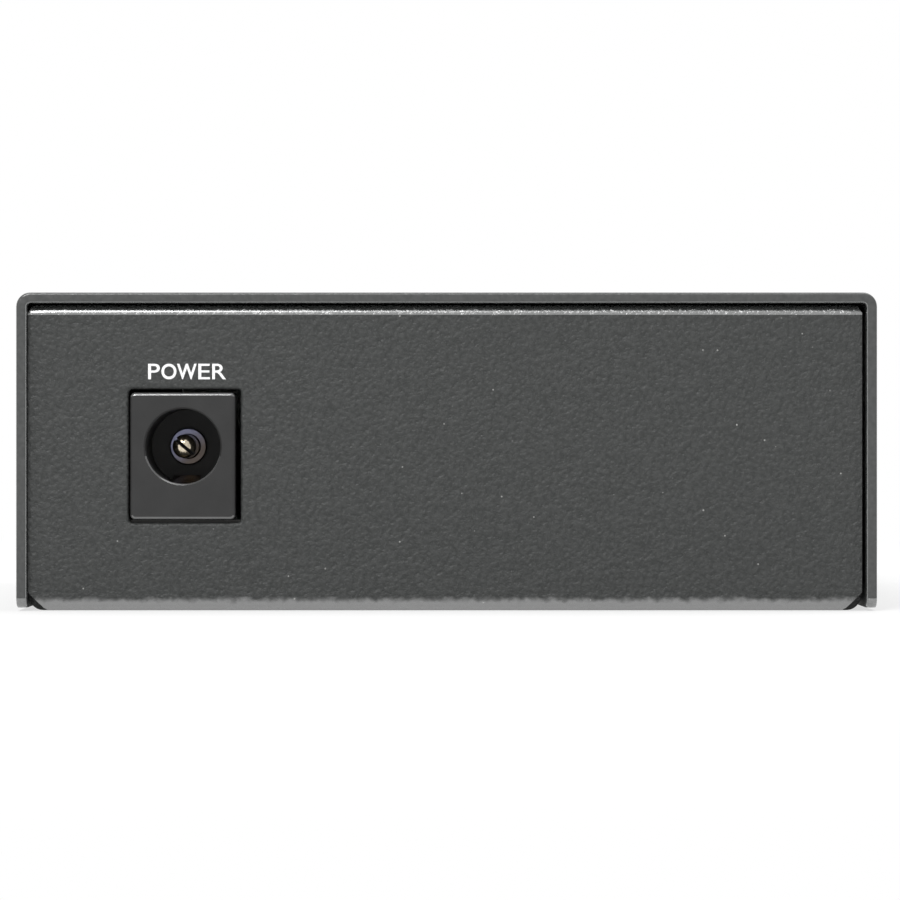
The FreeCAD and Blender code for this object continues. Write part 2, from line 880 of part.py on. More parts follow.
def plug_space(grow, front):
    """The stepped space that a plug and its latch fill, from the back of the socket to its front."""
    depth = (plug_back, front)
    main = block(span(socket_x, plug_width + 2 * grow), depth, (plug_low - grow, plug_high + grow))
    latch_low = plug_low - latch_drop
    latch = block(span(socket_x, latch_width + 2 * grow), depth, (latch_low - grow, plug_low))
    tip = block(
        span(socket_x, latch_tip_width + 2 * grow),
        depth,
        (latch_low - latch_tip_drop - grow, latch_low),
    )
    return main.fuse([latch, tip])


def socket_housing():
    """Moulded insert with the plug space and one chamber for the eight wires."""
    body = block(
        span(socket_x, socket_width - 2 * shield_sheet),
        (socket_back + shield_sheet, socket_face - shield_sheet),
        (board_top, board_top + socket_height - shield_sheet),
    )
    comb = span(socket_x, wire_count * wire_pitch)
    roof = plug_high + wire_roof + wire_size + wire_chamber_gap
    run = (plug_back - wire_chamber_wall, socket_face - wire_front + 1)
    level_run = block(comb, run, (plug_high, roof))
    rear = (wire_y - wire_chamber_gap, plug_back - wire_chamber_wall)
    chamber = block(comb, rear, (board_top, roof))
    return body.cut([plug_space(0, socket_face), level_run, chamber])


def socket_shield():
    """Plated steel can round the insert, open below, with a leg each side."""
    body = block(
        span(socket_x, socket_width),
        (socket_back, socket_face),
        (board_top, board_top + socket_height),
    )
    inside = block(
        span(socket_x, socket_width - 2 * shield_sheet),
        (socket_back + shield_sheet, socket_face - shield_sheet),
        (board_top, board_top + socket_height - shield_sheet),
    )
    body = body.cut([inside, plug_space(shield_sheet, socket_face)])
    legs = []
    for side in (-1, 1):
        edge = socket_x + side * socket_width / 2
        legs.append(
            block(
                sorted((edge, edge - side * shield_sheet)),
                span(socket_face - shield_leg_back, shield_leg_width),
                (leg_bottom, board_top),
            )
        )
    return body.fuse(legs).removeSplitter()


def socket_wires():
    """Eight spring wires: up from the board, forward over the plug space, and back down into it."""
    level = plug_high + wire_roof
    section = creased(
        [
            (wire_y, leg_bottom),
            (wire_y, level + wire_size),
            (socket_face - wire_front, level + wire_size),
            (socket_face - wire_front, level - wire_drop),
            (socket_face - wire_end, plug_high - wire_dip),
        ][::-1],
        wire_size,
    )
    return group([drawn(section, "YZ", span(x, wire_size)) for x in wire_places()])


# ------------------------------------------------------------------ duplex fibre transceiver
def receptacle():
    """Moulded front of the transceiver: two keyed ports, each with a hole for its optic."""
    body = block(
        span(fibre_x, fibre_width),
        (receptacle_back, fibre_face),
        (fibre_low, fibre_low + fibre_height),
    )
    cutters = []
    for x in fibre_port_x:
        depth = (port_back, fibre_face)
        port = block(span(x, port_width), depth, span(fibre_axis, port_height))
        key_top = fibre_axis + port_height / 2 + key_depth
        key = block(span(x, key_width), depth, (fibre_axis, key_top))
        lead = chamfered_mouth(x)
        wall = port_back - receptacle_back
        hole = bar(optic_seat_radius, (x, receptacle_back, fibre_axis), (0, 1, 0), wall)
        cutters += [port.fuse(key), lead, hole]
    pegs = [
        block(span(x, peg_size), span(fibre_face - peg_back, peg_size), (leg_bottom, fibre_low))
        for x in peg_places()
    ]
    return body.fuse(pegs).cut(cutters)


def peg_places():
    return [fibre_x + side * peg_spacing / 2 for side in (-1, 1)]


def chamfered_mouth(x):
    """A shallow flared frame round one port's mouth."""
    wide = port_width / 2 + port_lead_in
    tall = port_height / 2 + port_lead_in
    corners = [(-1, -1), (1, -1), (1, 1), (-1, 1), (-1, -1)]
    outer = [vec(x + u * wide, fibre_face, fibre_axis + v * tall) for u, v in corners]
    inner = [
        vec(x + u * port_width / 2, fibre_face - port_lead_in, fibre_axis + v * port_height / 2)
        for u, v in corners
    ]
    return Part.makeLoft([Part.makePolygon(outer), Part.makePolygon(inner)], True, True)


def port_latches():
    """One insert at the back of each port: a plate round the optic's nose and two hooked arms."""
    inserts = []
    for x in fibre_port_x:
        front = port_back + latch_plate
        plate = block(
            span(x, port_width), (port_back, front), span(fibre_axis, port_height)
        ).cut(bar(optic_nose_radius, (x, port_back, fibre_axis), (0, 1, 0), latch_plate))
        arms = []
        for side in (-1, 1):
            outside = side * (port_width / 2 - latch_arm_gap)
            inside = outside - side * latch_arm_thickness
            hook = inside - side * latch_hook
            tip = front + latch_arm_length
            arm = outline(
                [
                    (x + outside, front),
                    (x + outside, tip - latch_hook),
                    (x + inside, tip),
                    (x + hook, tip - latch_hook),
                    (x + hook, tip - latch_hook_length + latch_hook),
                    (x + inside, tip - latch_hook_length),
                    (x + inside, front),
                ]
            )
            arms.append(drawn(arm, "XY", span(fibre_axis, latch_arm_height)))
        inserts.append(plate.fuse(arms))
    return group(inserts)


def optic(x):
    """An optic: a nose bored for a ferrule, a body seated in the receptacle's wall, four leads."""
    back = receptacle_back - optic_can_length
    can = bar(optic_seat_radius, (x, back, fibre_axis), (0, 1, 0), port_back - back)
    nose = bar(optic_nose_radius, (x, port_back, fibre_axis), (0, 1, 0), optic_nose_length)
    mouth = port_back + optic_nose_length
    bore = rod(ferrule_radius, (x, mouth - ferrule_depth, fibre_axis), (0, 1, 0), ferrule_depth)
    leads = []
    for across in (-1, 1):
        for up in (-1, 1):
            z = fibre_axis + up * (fibre_board_thickness + optic_lead_size) / 2
            leads.append(
                block(
                    span(x + across * optic_lead_pitch / 2, optic_lead_size),
                    (back - optic_lead_length, back),
                    span(z, optic_lead_size),
                )
            )
    return can.fuse([nose] + leads).cut(bore)


def transceiver_shell():
    """Moulded lid behind the receptacle, open below."""
    outside = span(fibre_x, fibre_width)
    body = block(outside, (fibre_back, receptacle_back), (fibre_low, fibre_low + fibre_height))
    inside = block(
        (outside[0] + shell_wall, outside[1] - shell_wall),
        (fibre_back + shell_wall, receptacle_back),
        (fibre_low, fibre_low + fibre_height - shell_wall),
    )
    return body.cut(inside)


def transceiver_board():
    """Small board between the leads of the two optics."""
    front = receptacle_back - optic_can_length - fibre_board_gap
    width = fibre_width - 2 * shell_wall - 2 * fibre_board_gap
    back = fibre_back + shell_wall + fibre_board_gap
    level = (fibre_board_low, fibre_board_low + fibre_board_thickness)
    return block(span(fibre_x, width), (back, front), level)


def transceiver_pins():
    return group(
        [square_leg(x, fibre_pin_y, fibre_pin_size, fibre_board_low) for x in fibre_pin_x]
    )


# ------------------------------------------------------------------ indicator lamps
def lamp_holder():
    """Moulded block that holds both rows of lamps over the switch, on two legs."""
    low = board_top + lamp_row_height - lamp_block_edge
    high = board_top + lamp_row_height + (lamp_rows - 1) * lamp_row_pitch + lamp_block_edge
    width = span(lamp_middle_x, lamp_block_width)
    body = block(width, (lamp_block_back, lamp_block_front), (low, high))
    legs = [
        block(
            sorted((edge, edge + side * lamp_leg_width)),
            (lamp_block_back, lamp_block_back + lamp_leg_depth),
            (board_top, low),
        )
        for edge, side in ((width[0], 1), (width[1], -1))
    ]
    bores = [
        bar(
            lamp_radius + lamp_bore_clearance,
            (x, lamp_block_back, z),
            (0, 1, 0),
            lamp_block_depth,
        )
        for x, z, _ in lamp_places
    ]
    return body.fuse(legs).removeSplitter().cut(bores)


def lamp(x, z):
    """A round lamp whose front edge slopes back like its dome."""
    length = lamp_base_length + lamp_radius
    body = bar(lamp_radius, (x, lamp_back, z), (0, 1, 0), length)
    front = [e for e in body.Edges if abs(e.CenterOfMass.y - lamp_tip) < 1e-6]
    return body.makeChamfer(lamp_slope, front)


def lamp_leads():
    """Two leads from each lamp, back out of the block and down through the board."""
    leads = []
    for x, z, drop_y in lamp_places:
        section = creased(
            [
                (lamp_back, z + lamp_lead_size / 2),
                (drop_y - lamp_lead_size, z + lamp_lead_size / 2),
                (drop_y - lamp_lead_size, leg_bottom),
            ],
            lamp_lead_size,
        )
        for side in (-1, 1):
            lead_x = x + side * lamp_lead_pitch / 2
            leads.append(drawn(section, "YZ", span(lead_x, lamp_lead_size)))
    return group(leads)


# ------------------------------------------------------------------ mode switch
def switch_legs():
    return [
        lamp_middle_x + (n - (switch_leg_count - 1) / 2) * switch_leg_pitch
        for n in range(switch_leg_count)
    ]


def switch_room():
    """The space inside the frame, in front of the base."""
    return block(
        span(lamp_middle_x, switch_width - 2 * switch_sheet),
        (switch_back, switch_front - switch_sheet),
        (board_top, board_top + switch_height - switch_sheet),
    )


def switch_frame():
    """Plated frame, open behind and below, with a slot for the knob."""
    body = block(
        span(lamp_middle_x, switch_width),
        (switch_back, switch_front),
        (board_top, board_top + switch_height),
    )
    slot = block(
        span(lamp_middle_x, switch_window),
        (switch_back, switch_front),
        span(switch_axis, knob_height + 2 * switch_play),
    )
    return body.cut([switch_room(), slot])


def switch_base():
    """Moulded base that fills the back of the frame."""
    front = switch_front - switch_sheet - slider_depth - 2 * switch_play
    body = block(
        span(lamp_middle_x, switch_width - 2 * switch_sheet),
        (switch_back, front),
        (board_top, board_top + switch_height - switch_sheet),
    )
    return body.cut(switch_terminals())


def switch_terminals():
    return group(
        [
            square_leg(x, switch_back + switch_leg_size, switch_leg_size, switch_axis)
            for x in switch_legs()
        ]
    )


def switch_slider():
    """Slider with its knob, at the -X end of its travel."""
    x = lamp_middle_x - switch_travel / 2
    front = switch_front - switch_sheet - switch_play
    room = (board_top + switch_play, board_top + switch_height - switch_sheet - switch_play)
    body = block(span(x, slider_width), (front - slider_depth, front), room)
    knob = block(
        span(x, knob_width),
        (front - slider_depth, case_depth / 2 - knob_tip_recess),
        span(switch_axis, knob_height),
    )
    return body.fuse(knob).removeSplitter()


# ------------------------------------------------------------------ components on the board
def side_leads(x, y, count, pitch, edge, reach, turns):
    """Gull-wing leads along one side of a package, repeated at each turn about its middle."""
    leads = []
    thick = chip_lead_size / 2
    knee = edge + reach / 2
    shoulder = board_top + chip_body_lift + chip_lead_size
    wing = creased(
        [(edge, shoulder), (knee, shoulder), (knee, board_top), (edge + reach, board_top)], thick
    )
    for turn in turns:
        for n in range(count):
            lead = drawn(wing, "YZ", span((n - (count - 1) / 2) * pitch, chip_lead_size))
            lead.rotate(vec(0, 0, 0), vec(0, 0, 1), turn)
            lead.translate(vec(x, y, 0))
            leads.append(lead)
    return group(leads)


def package(x, y, width, depth, height):
    """A moulded package with its lid edges broken."""
    low = board_top + chip_body_lift
    body = block(span(x, width), span(y, depth), (low, low + height))
    top = [e for e in body.Edges if abs(e.CenterOfMass.z - low - height) < 1e-6]
    return body.makeChamfer(chip_lead_size / 2, top)


def controller_leads():
    return side_leads(
        controller_x,
        controller_y,
        controller_lead_count,
        controller_lead_pitch,
        controller_size / 2,
        controller_lead_reach,
        (0, 90, 180, 270),
    )


def magnetics_leads():
    return side_leads(
        socket_x,
        magnetics_y,
        magnetics_lead_count,
        magnetics_lead_pitch,
        magnetics_depth / 2,
        magnetics_lead_reach,
        (0, 180),
    )


def crystal():
    """Metal can with full round ends."""
    return rounded_box(
        span(crystal_x, crystal_width),
        span(crystal_y, crystal_length),
        (board_top, board_top + crystal_height),
        crystal_width / 2 - 0.001,
        vec(0, 0, 1),
    )


def capacitor(x, y):
    return bar(capacitor_radius, (x, y, board_top), (0, 0, 1), capacitor_height, 2 * few_sides)


def capacitor_legs():
    return group([square_leg(x, y, capacitor_lead_size, board_top) for x, y in capacitor_leads])


# ------------------------------------------------------------------ all the pieces
def carried_by_tray():
    """Every piece that is placed from the tray, by name."""
    pieces = {
        "base_tray": tray(),
        "board_standoffs": standoffs(),
        "board_screws": board_screws(),
        "circuit_board": circuit_board(),
        "power_jack_housing": jack_housing(),
        "power_jack_pin": jack_pin(),
        "power_jack_spring": jack_spring(),
        "power_jack_break_contact": jack_break_contact(),
        "copper_socket_housing": socket_housing(),
        "copper_socket_shield": socket_shield(),
        "copper_socket_wires": socket_wires(),
        "fibre_receptacle": receptacle(),
        "fibre_port_latches": port_latches(),
        "transmit_optic": optic(fibre_port_x[0]),
        "receive_optic": optic(fibre_port_x[1]),
        "transceiver_shell": transceiver_shell(),
        "transceiver_board": transceiver_board(),
        "transceiver_pins": transceiver_pins(),
        "lamp_holder": lamp_holder(),
        "lamp_leads": lamp_leads(),
        "switch_frame": switch_frame(),
        "switch_base": switch_base(),
        "switch_terminals": switch_terminals(),
        "switch_slider": switch_slider(),
        "controller_chip": package(
            controller_x, controller_y, controller_size, controller_size, controller_height
        ),
        "controller_leads": controller_leads(),
        "line_transformer": package(
            socket_x, magnetics_y, magnetics_width, magnetics_depth, magnetics_height
        ),
        "line_transformer_leads": magnetics_leads(),
        "timing_crystal": crystal(),
        "voltage_regulator": package(
            regulator_x, regulator_y, regulator_width, regulator_depth, regulator_height
        ),
        "input_diode": package(diode_x, diode_y, diode_length, diode_width, diode_height),
        "power_inductor": package(coil_x, coil_y, coil_size, coil_size, coil_height),
        "capacitor_legs": capacitor_legs(),
    }
    for number, (x, z, _) in enumerate(lamp_places, 1):
        pieces[f"lamp_{number}"] = lamp(x, z)
    for number, (x, y) in enumerate(capacitor_places, 1):
        pieces[f"capacitor_{number}"] = capacitor(x, y)
    return pieces


def main():
    os.makedirs("parts", exist_ok=True)
    pieces = carried_by_tray()
    for shape in pieces.values():
        shape.translate(vec(-tray_shift, 0, 0))
    pieces["cover"] = cover()
    pieces["cover_screws"] = cover_screws()
    for name, shape in pieces.items():
        shape.exportStep(f"parts/{name}.step")


main()
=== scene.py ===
import json
import math

import bpy
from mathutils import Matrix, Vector


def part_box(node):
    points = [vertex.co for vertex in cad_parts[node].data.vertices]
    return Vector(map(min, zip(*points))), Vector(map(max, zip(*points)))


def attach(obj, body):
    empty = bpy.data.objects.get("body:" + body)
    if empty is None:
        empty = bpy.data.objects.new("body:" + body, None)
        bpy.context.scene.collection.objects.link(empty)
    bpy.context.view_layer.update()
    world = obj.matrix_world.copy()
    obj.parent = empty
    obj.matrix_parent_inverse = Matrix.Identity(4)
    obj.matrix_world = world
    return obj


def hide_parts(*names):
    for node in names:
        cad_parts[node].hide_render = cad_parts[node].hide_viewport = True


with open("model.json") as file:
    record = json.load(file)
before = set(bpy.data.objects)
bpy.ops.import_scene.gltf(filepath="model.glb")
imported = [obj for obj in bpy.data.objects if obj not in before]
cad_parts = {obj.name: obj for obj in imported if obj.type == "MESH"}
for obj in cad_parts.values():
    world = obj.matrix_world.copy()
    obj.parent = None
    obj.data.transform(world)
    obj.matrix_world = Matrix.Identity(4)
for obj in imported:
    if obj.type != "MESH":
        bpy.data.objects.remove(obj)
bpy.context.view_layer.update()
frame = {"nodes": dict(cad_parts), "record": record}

MM = 0.001


def box(node):
    """A node's lowest and highest corners in millimetres."""
    low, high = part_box(node)
    return Vector(low) / MM, Vector(high) / MM


# ------------------------------------------------------------------ sizes, in millimetres
COVER_LOW, COVER_HIGH = box("cover")
TRAY_LOW, TRAY_HIGH = box("base_tray")
JACK_LOW, JACK_HIGH = box("power_jack_housing")

SHEET = 0.9  # steel with its paint
FOLD = 1.2  # outside radius of a fold
TOP_FOLD = 0.88  # the same along the top of an end panel, which is folded tighter
TOP_FOLD_DEPTH = 6.0  # how far an end panel's top folds in over the board
CORNER_CUT = 1.55  # the 45 degree cut at each lower corner of an end panel
END_LEAN = 0.45  # how far the ends of the top folds draw in for each millimetre that they rise
FLANGE_HEIGHT = 10.0
COVER_CORNER = 0.8  # rounding of each lower corner of the cover's sides

SCREW_Y = 36.0  # the cover's screws lie this far before and behind the middle
SCREW_Z = 5.4
SCREW_HEAD = 2.4  # radius
COUNTERSINK = 2.5  # radius
THREAD = 1.5  # radius
THREAD_HOLE = 1.56  # radius
COLLAR = 2.3  # outside radius of the threaded collars
RECESS_DEPTH = 0.8  # of the cross in a screw's head
ARM_LENGTH, ARM_HALF_WIDTH = 1.4, 0.3  # of the cross, from its middle
HEAD_FLATS = 5.6  # across the flats of a standoff's head, which sits in the tray's floor
PRESS_GAP = 0.035  # keeps the head's faces off the floor's
STANDOFF_PLACES = ((-29.57, -27.05), (29.28, -27.05), (-29.57, 22.15), (29.28, 4.35))

SLOT_LOW = Vector((COVER_LOW.x - 1, -21.7, 12.5))  # the first cooling slot, through both sides
SLOT_HIGH = Vector((COVER_HIGH.x + 1, -19.7, 21.5))
SLOT_ROUNDING = 0.999  # the slots' ends are all but half circles
SLOT_COUNT = 10
SLOT_PITCH = 4.6

JACK_X = (JACK_LOW.x + JACK_HIGH.x) / 2
BORE_Z = JACK_LOW.z + 6.25
BORE = 3.2  # radius
BARREL = 4.5  # radius of the moulding's round back
FACE_DEPTH = 3.4  # of the inlet's square front
TERMINAL_Y = JACK_LOW.y + 12.6  # front of the blade behind the pin
TIP_Y = JACK_LOW.y + 1.5  # the pin's tip
PIN = 1.0  # radius
PIN_LENGTH = 11.1
PIN_COLLAR = 1.6  # radius
SLIT_HALF = 0.15  # half the width of the pin's slit
SLIT_LENGTH = 4.0
SLIT_TURN = 40  # degrees that the slit falls from level

LETTERS = (  # letter, start, width, and how much bolder its strokes are (in font units)
    ("P", 0.0, 1.0, 0.006),
    ("O", 1.13, 1.28, 0.018),
    ("W", 2.45, 1.68, 0.020),
    ("E", 4.26, 0.99, 0.004),
    ("R", 5.44, 1.18, 0.006),
)
WORD_WIDTH = 6.62
WORD_HEIGHT = 1.32
INK = 0.012  # how far the print stands out from the panel

SOCKET_FOOT = 7.7  # where the copper socket's window starts, over its legs
RECEPTACLE_FOOT = 8.0  # the same for the fibre ports, over their pegs
PORT_SPREAD = 6.35  # from the middle of the twin port to each ferrule
PORT_WIDTH, PORT_HEIGHT, PORT_DEPTH = 9.1, 7.6, 13.0  # of one fibre port
KEY_WIDTH = 2.4
PEG_SPREAD = 10.16  # from the middle to each peg that stands on the board
PEG_WIDTH = 1.7
OPTIC = 2.9  # radius of an optic's body
NOSE = 2.15  # radius
FERRULE = 1.25  # radius
SWITCH_SHIFT = -4.55  # from the tray's middle to the switch's
SWITCH_OPENING = 4.5
LAMP_NUMBERS = range(1, 7)
LAMP = 1.45  # radius
LAMP_HOLE = 1.6  # radius


# ------------------------------------------------------------------ node trees
class Finish:
    """One material being wired: its nodes are added as they are asked for."""

    def __init__(self, name, roughness=0.5, metallic=0.0, specular=0.5):
        self.name = name
        self.material = bpy.data.materials.new(name)
        self.material.use_nodes = True
        self.tree = self.material.node_tree
        self.shader = next(n for n in self.tree.nodes if n.type == "BSDF_PRINCIPLED")
        self.set(Roughness=roughness, Metallic=metallic, Specular_IOR_Level=specular)
        self.place = self.add("ShaderNodeTexCoord").outputs["Object"]

    def add(self, kind, **settings):
        node = self.tree.nodes.new(kind)
        for key, value in settings.items():
            setattr(node, key, value)
        return node

    def set(self, **values):
        """Constant values of the shader; an underscore stands for a space."""
        for key, value in values.items():
            self.shader.inputs[key.replace("_", " ")].default_value = value

    def join(self, source, target):
        self.tree.links.new(source, target)

    def stretched(self, scale):
        """Object coordinates scaled by different amounts along each axis."""
        mapping = self.add("ShaderNodeMapping")
        mapping.inputs["Scale"].default_value = scale
        self.join(self.place, mapping.inputs["Vector"])
        return mapping.outputs["Vector"]

    def apart(self, vector):
        """The X, Y and Z of a vector, one socket each."""
        node = self.add("ShaderNodeSeparateXYZ")
        self.join(vector, node.inputs[0])
        return node.outputs

    def noise(self, size, detail=3.0, vector=None):
        """A noise whose lumps are about one size across, in metres."""
        node = self.add("ShaderNodeTexNoise")
        node.inputs["Scale"].default_value = 1.0 / size
        node.inputs["Detail"].default_value = detail
        node.inputs["Roughness"].default_value = 0.5
        self.join(vector or self.place, node.inputs["Vector"])
        return node.outputs["Fac"]

    def ramp(self, source, stops):
        """A colour ramp; stops are (position, colour or grey)."""
        node = self.add("ShaderNodeValToRGB")
        elements = node.color_ramp.elements
        while len(elements) < len(stops):
            elements.new(0.5)
        for element, (position, tone) in zip(elements, stops):
            element.position = position
            grey = isinstance(tone, (int, float))
            element.color = (tone, tone, tone, 1.0) if grey else (*tone, 1.0)
        self.join(source, node.inputs["Fac"])
        return node.outputs["Color"]

    def fade(self, source, zero, one, lowest=0.0):
        """Eased from the lowest value, where the source is the first number, to 1."""
        node = self.add("ShaderNodeMapRange", interpolation_type="SMOOTHSTEP")
        self.join(source, node.inputs["Value"])
        node.inputs["From Min"].default_value = zero
        node.inputs["From Max"].default_value = one
        node.inputs["To Min"].default_value = lowest
        return node.outputs["Result"]

    def maths(self, operation, *values):
        """A maths node; each value is a socket or a number."""
        node = self.add("ShaderNodeMath", operation=operation)
        for value, socket in zip(values, node.inputs):
            if isinstance(value, (int, float)):
                socket.default_value = value
            else:
                self.join(value, socket)
        return node.outputs[0]

    def mixed(self, share, first, second):
        """A blend of two colours; each is a socket or three numbers."""
        node = self.add("ShaderNodeMix", data_type="RGBA")
        self.join(share, node.inputs["Factor"])
        for colour, socket in ((first, node.inputs[6]), (second, node.inputs[7])):
            if isinstance(colour, tuple):
                socket.default_value = (*colour, 1.0)
            else:
                self.join(colour, socket)
        return node.outputs[2]

    def drive(self, name, source):
        """Lets a socket rule one of the shader's values."""
        self.join(source, self.shader.inputs[name])

    def gloss(self, source, low, high):
        """Roughness that varies between two values with the source."""
        node = self.add("ShaderNodeMapRange")
        node.inputs["To Min"].default_value = low
        node.inputs["To Max"].default_value = high
        self.join(source, node.inputs["Value"])
        self.drive("Roughness", node.outputs["Result"])

    def bumps(self, *layers):
        """Stacks bump layers of (source, depth in metres)."""
        normal = None
        for source, depth in layers:
            node = self.add("ShaderNodeBump")
            node.inputs["Strength"].default_value = 1.0
            node.inputs["Distance"].default_value = depth
            self.join(source, node.inputs["Height"])
            if normal:
                self.join(normal, node.inputs["Normal"])
            normal = node.outputs["Normal"]
        self.drive("Normal", normal)


# ------------------------------------------------------------------ finishes
COAT_DARK = Vector((0.025, 0.027, 0.026))
COAT_LIGHT = Vector((0.045, 0.047, 0.046))
DUST = (0.30, 0.30, 0.29)
ORANGE_PEEL = 0.36 * MM  # across one bump of the powder coat
RIPPLE = 1.0 * MM
DUST_SPACING = 1.6 * MM


def powder_coat(
    name, specular=0.4, gloss=0.48, relief=0.14, shade=1.0, coat=0.0, coat_ior=2.0, coat_gloss=0.0
):
    """Dark grey powder coat: fine orange-peel relief, faint mottling and a few dust specks; a shade
    above one lightens the whole tone as a painted highlight.
    """
    f = Finish(name, specular=specular)
    grain = f.noise(ORANGE_PEEL, 2.0)
    ripple = f.noise(RIPPLE, 2.0)
    # shade scales the coat's tone; above one it is painted light, not the coat's own colour
    tone = f.ramp(grain, [(0.3, COAT_DARK * shade), (0.7, COAT_LIGHT * shade)])
    f.drive("Base Color", f.mixed(dust_specks(f), tone, DUST))
    f.gloss(grain, gloss - 0.05, gloss + 0.10)
    if coat:
        f.set(Coat_Weight=coat, Coat_Roughness=coat_gloss, Coat_IOR=coat_ior)
    f.bumps((grain, relief * MM), (ripple, 0.5 * relief * MM))
    return f


def dust_specks(f):
    """One in a dot at the middle of a few of the cells, and zero elsewhere."""
    cells = f.add("ShaderNodeTexVoronoi")
    cells.inputs["Scale"].default_value = 1.0 / DUST_SPACING
    f.join(f.place, cells.inputs["Vector"])
    dot = f.ramp(cells.outputs["Distance"], [(0.0, 1.0), (0.03, 1.0), (0.06, 0.0)])
    chosen = f.ramp(cells.outputs["Color"], [(0.75, 0.0), (0.79, 1.0)])
    return f.maths("MULTIPLY", dot, chosen)


def foot_coat():
    """Powder coat that shines as it bends under the case, unevenly, as it set."""
    f = powder_coat("powder_coat_foot", coat=1.0, coat_gloss=0.2, coat_ior=3.05)
    across = f.apart(f.place)
    wander = f.maths("SUBTRACT", f.noise(0.8 * MM, 2.0), 0.5)
    height = f.maths("MULTIPLY_ADD", wander, 0.8 * MM, across["Z"])
    outward = f.maths("ABSOLUTE", across["Y"])
    low_down = f.fade(height, 1.25 * MM, 0.6 * MM)
    at_the_end = f.fade(outward, 45.35 * MM, 45.8 * MM)
    f.drive("Coat Weight", f.maths("MULTIPLY", low_down, at_the_end))
    return f


def moulded(name, dark, light, roughness=0.42, coat=0.0, specular=0.5):
    """Moulded plastic: faint mottling and a very fine relief."""
    f = Finish(name, specular=specular)
    fine = f.noise(0.12 * MM, 2.0)
    f.drive("Base Color", f.ramp(f.noise(2.5 * MM), [(0.35, dark), (0.7, light)]))
    f.gloss(fine, roughness - 0.07, roughness + 0.07)
    if coat:
        f.set(Coat_Weight=coat, Coat_Roughness=roughness, Coat_IOR=2.1)
    f.bumps((fine, 0.004 * MM))
    return f


def plated(name, dark, light, roughness, cloud_size=0.35, dents=0.002):
    """Bare or plated metal with clouds of tone and gloss."""
    f = Finish(name, metallic=1.0)
    cloud = f.noise(cloud_size * MM)
    f.drive("Base Color", f.ramp(cloud, [(0.3, dark), (0.75, light)]))
    f.gloss(cloud, roughness * 0.7, roughness * 1.3)
    f.bumps((cloud, dents * MM))
    return f


def collar_painted_reflection_and_shade():
    """Metal ring coloured blue as a painted reflection, turning a darker brown towards its lower
    right as painted shade.
    """
    blue, brown = (0.24, 0.25, 0.36), (0.13, 0.11, 0.10)
    slope = 180.0  # the change of tone over a metre, along X and down Z
    f = Finish("collar_painted_reflection_and_shade", metallic=1.0)
    across = f.apart(f.stretched((slope, 0.0, -slope)))
    fall = f.maths("ADD", across["X"], across["Z"])
    centred = f.maths("ADD", fall, 0.5 - slope * MM * (JACK_X - BORE_Z))
    # blue is a painted reflection, the darker brown of the lower right a painted shade
    f.drive("Base Color", f.ramp(centred, [(0.25, blue), (0.75, brown)]))
    cloud = f.noise(0.4 * MM)
    f.gloss(cloud, 0.25, 0.45)
    f.bumps((cloud, 0.004 * MM))
    return f


def laminate():
    """Green circuit board with a faint weave; its sawn edge is brown, as bare laminate is, but
    darkened to near black as painted shade.
    """
    f = Finish("board_laminate", specular=0.6)
    weave = f.noise(0.8 * MM, 2.0, f.stretched((1.0, 3.0, 1.0)))
    green = f.ramp(weave, [(0.3, (0.006, 0.075, 0.03)), (0.7, (0.012, 0.115, 0.045))])
    facing = f.apart(f.add("ShaderNodeNewGeometry").outputs["Normal"])
    level = f.maths("ABSOLUTE", facing["Z"])
    # faces that are not level get a near-black brown: partly the laminate's own brown edge, partly
    # painted shade
    f.drive("Base Color", f.mixed(level, (0.016, 0.014, 0.009), green))
    f.gloss(weave, 0.25, 0.4)
    f.bumps((weave, 0.004 * MM))
    return f


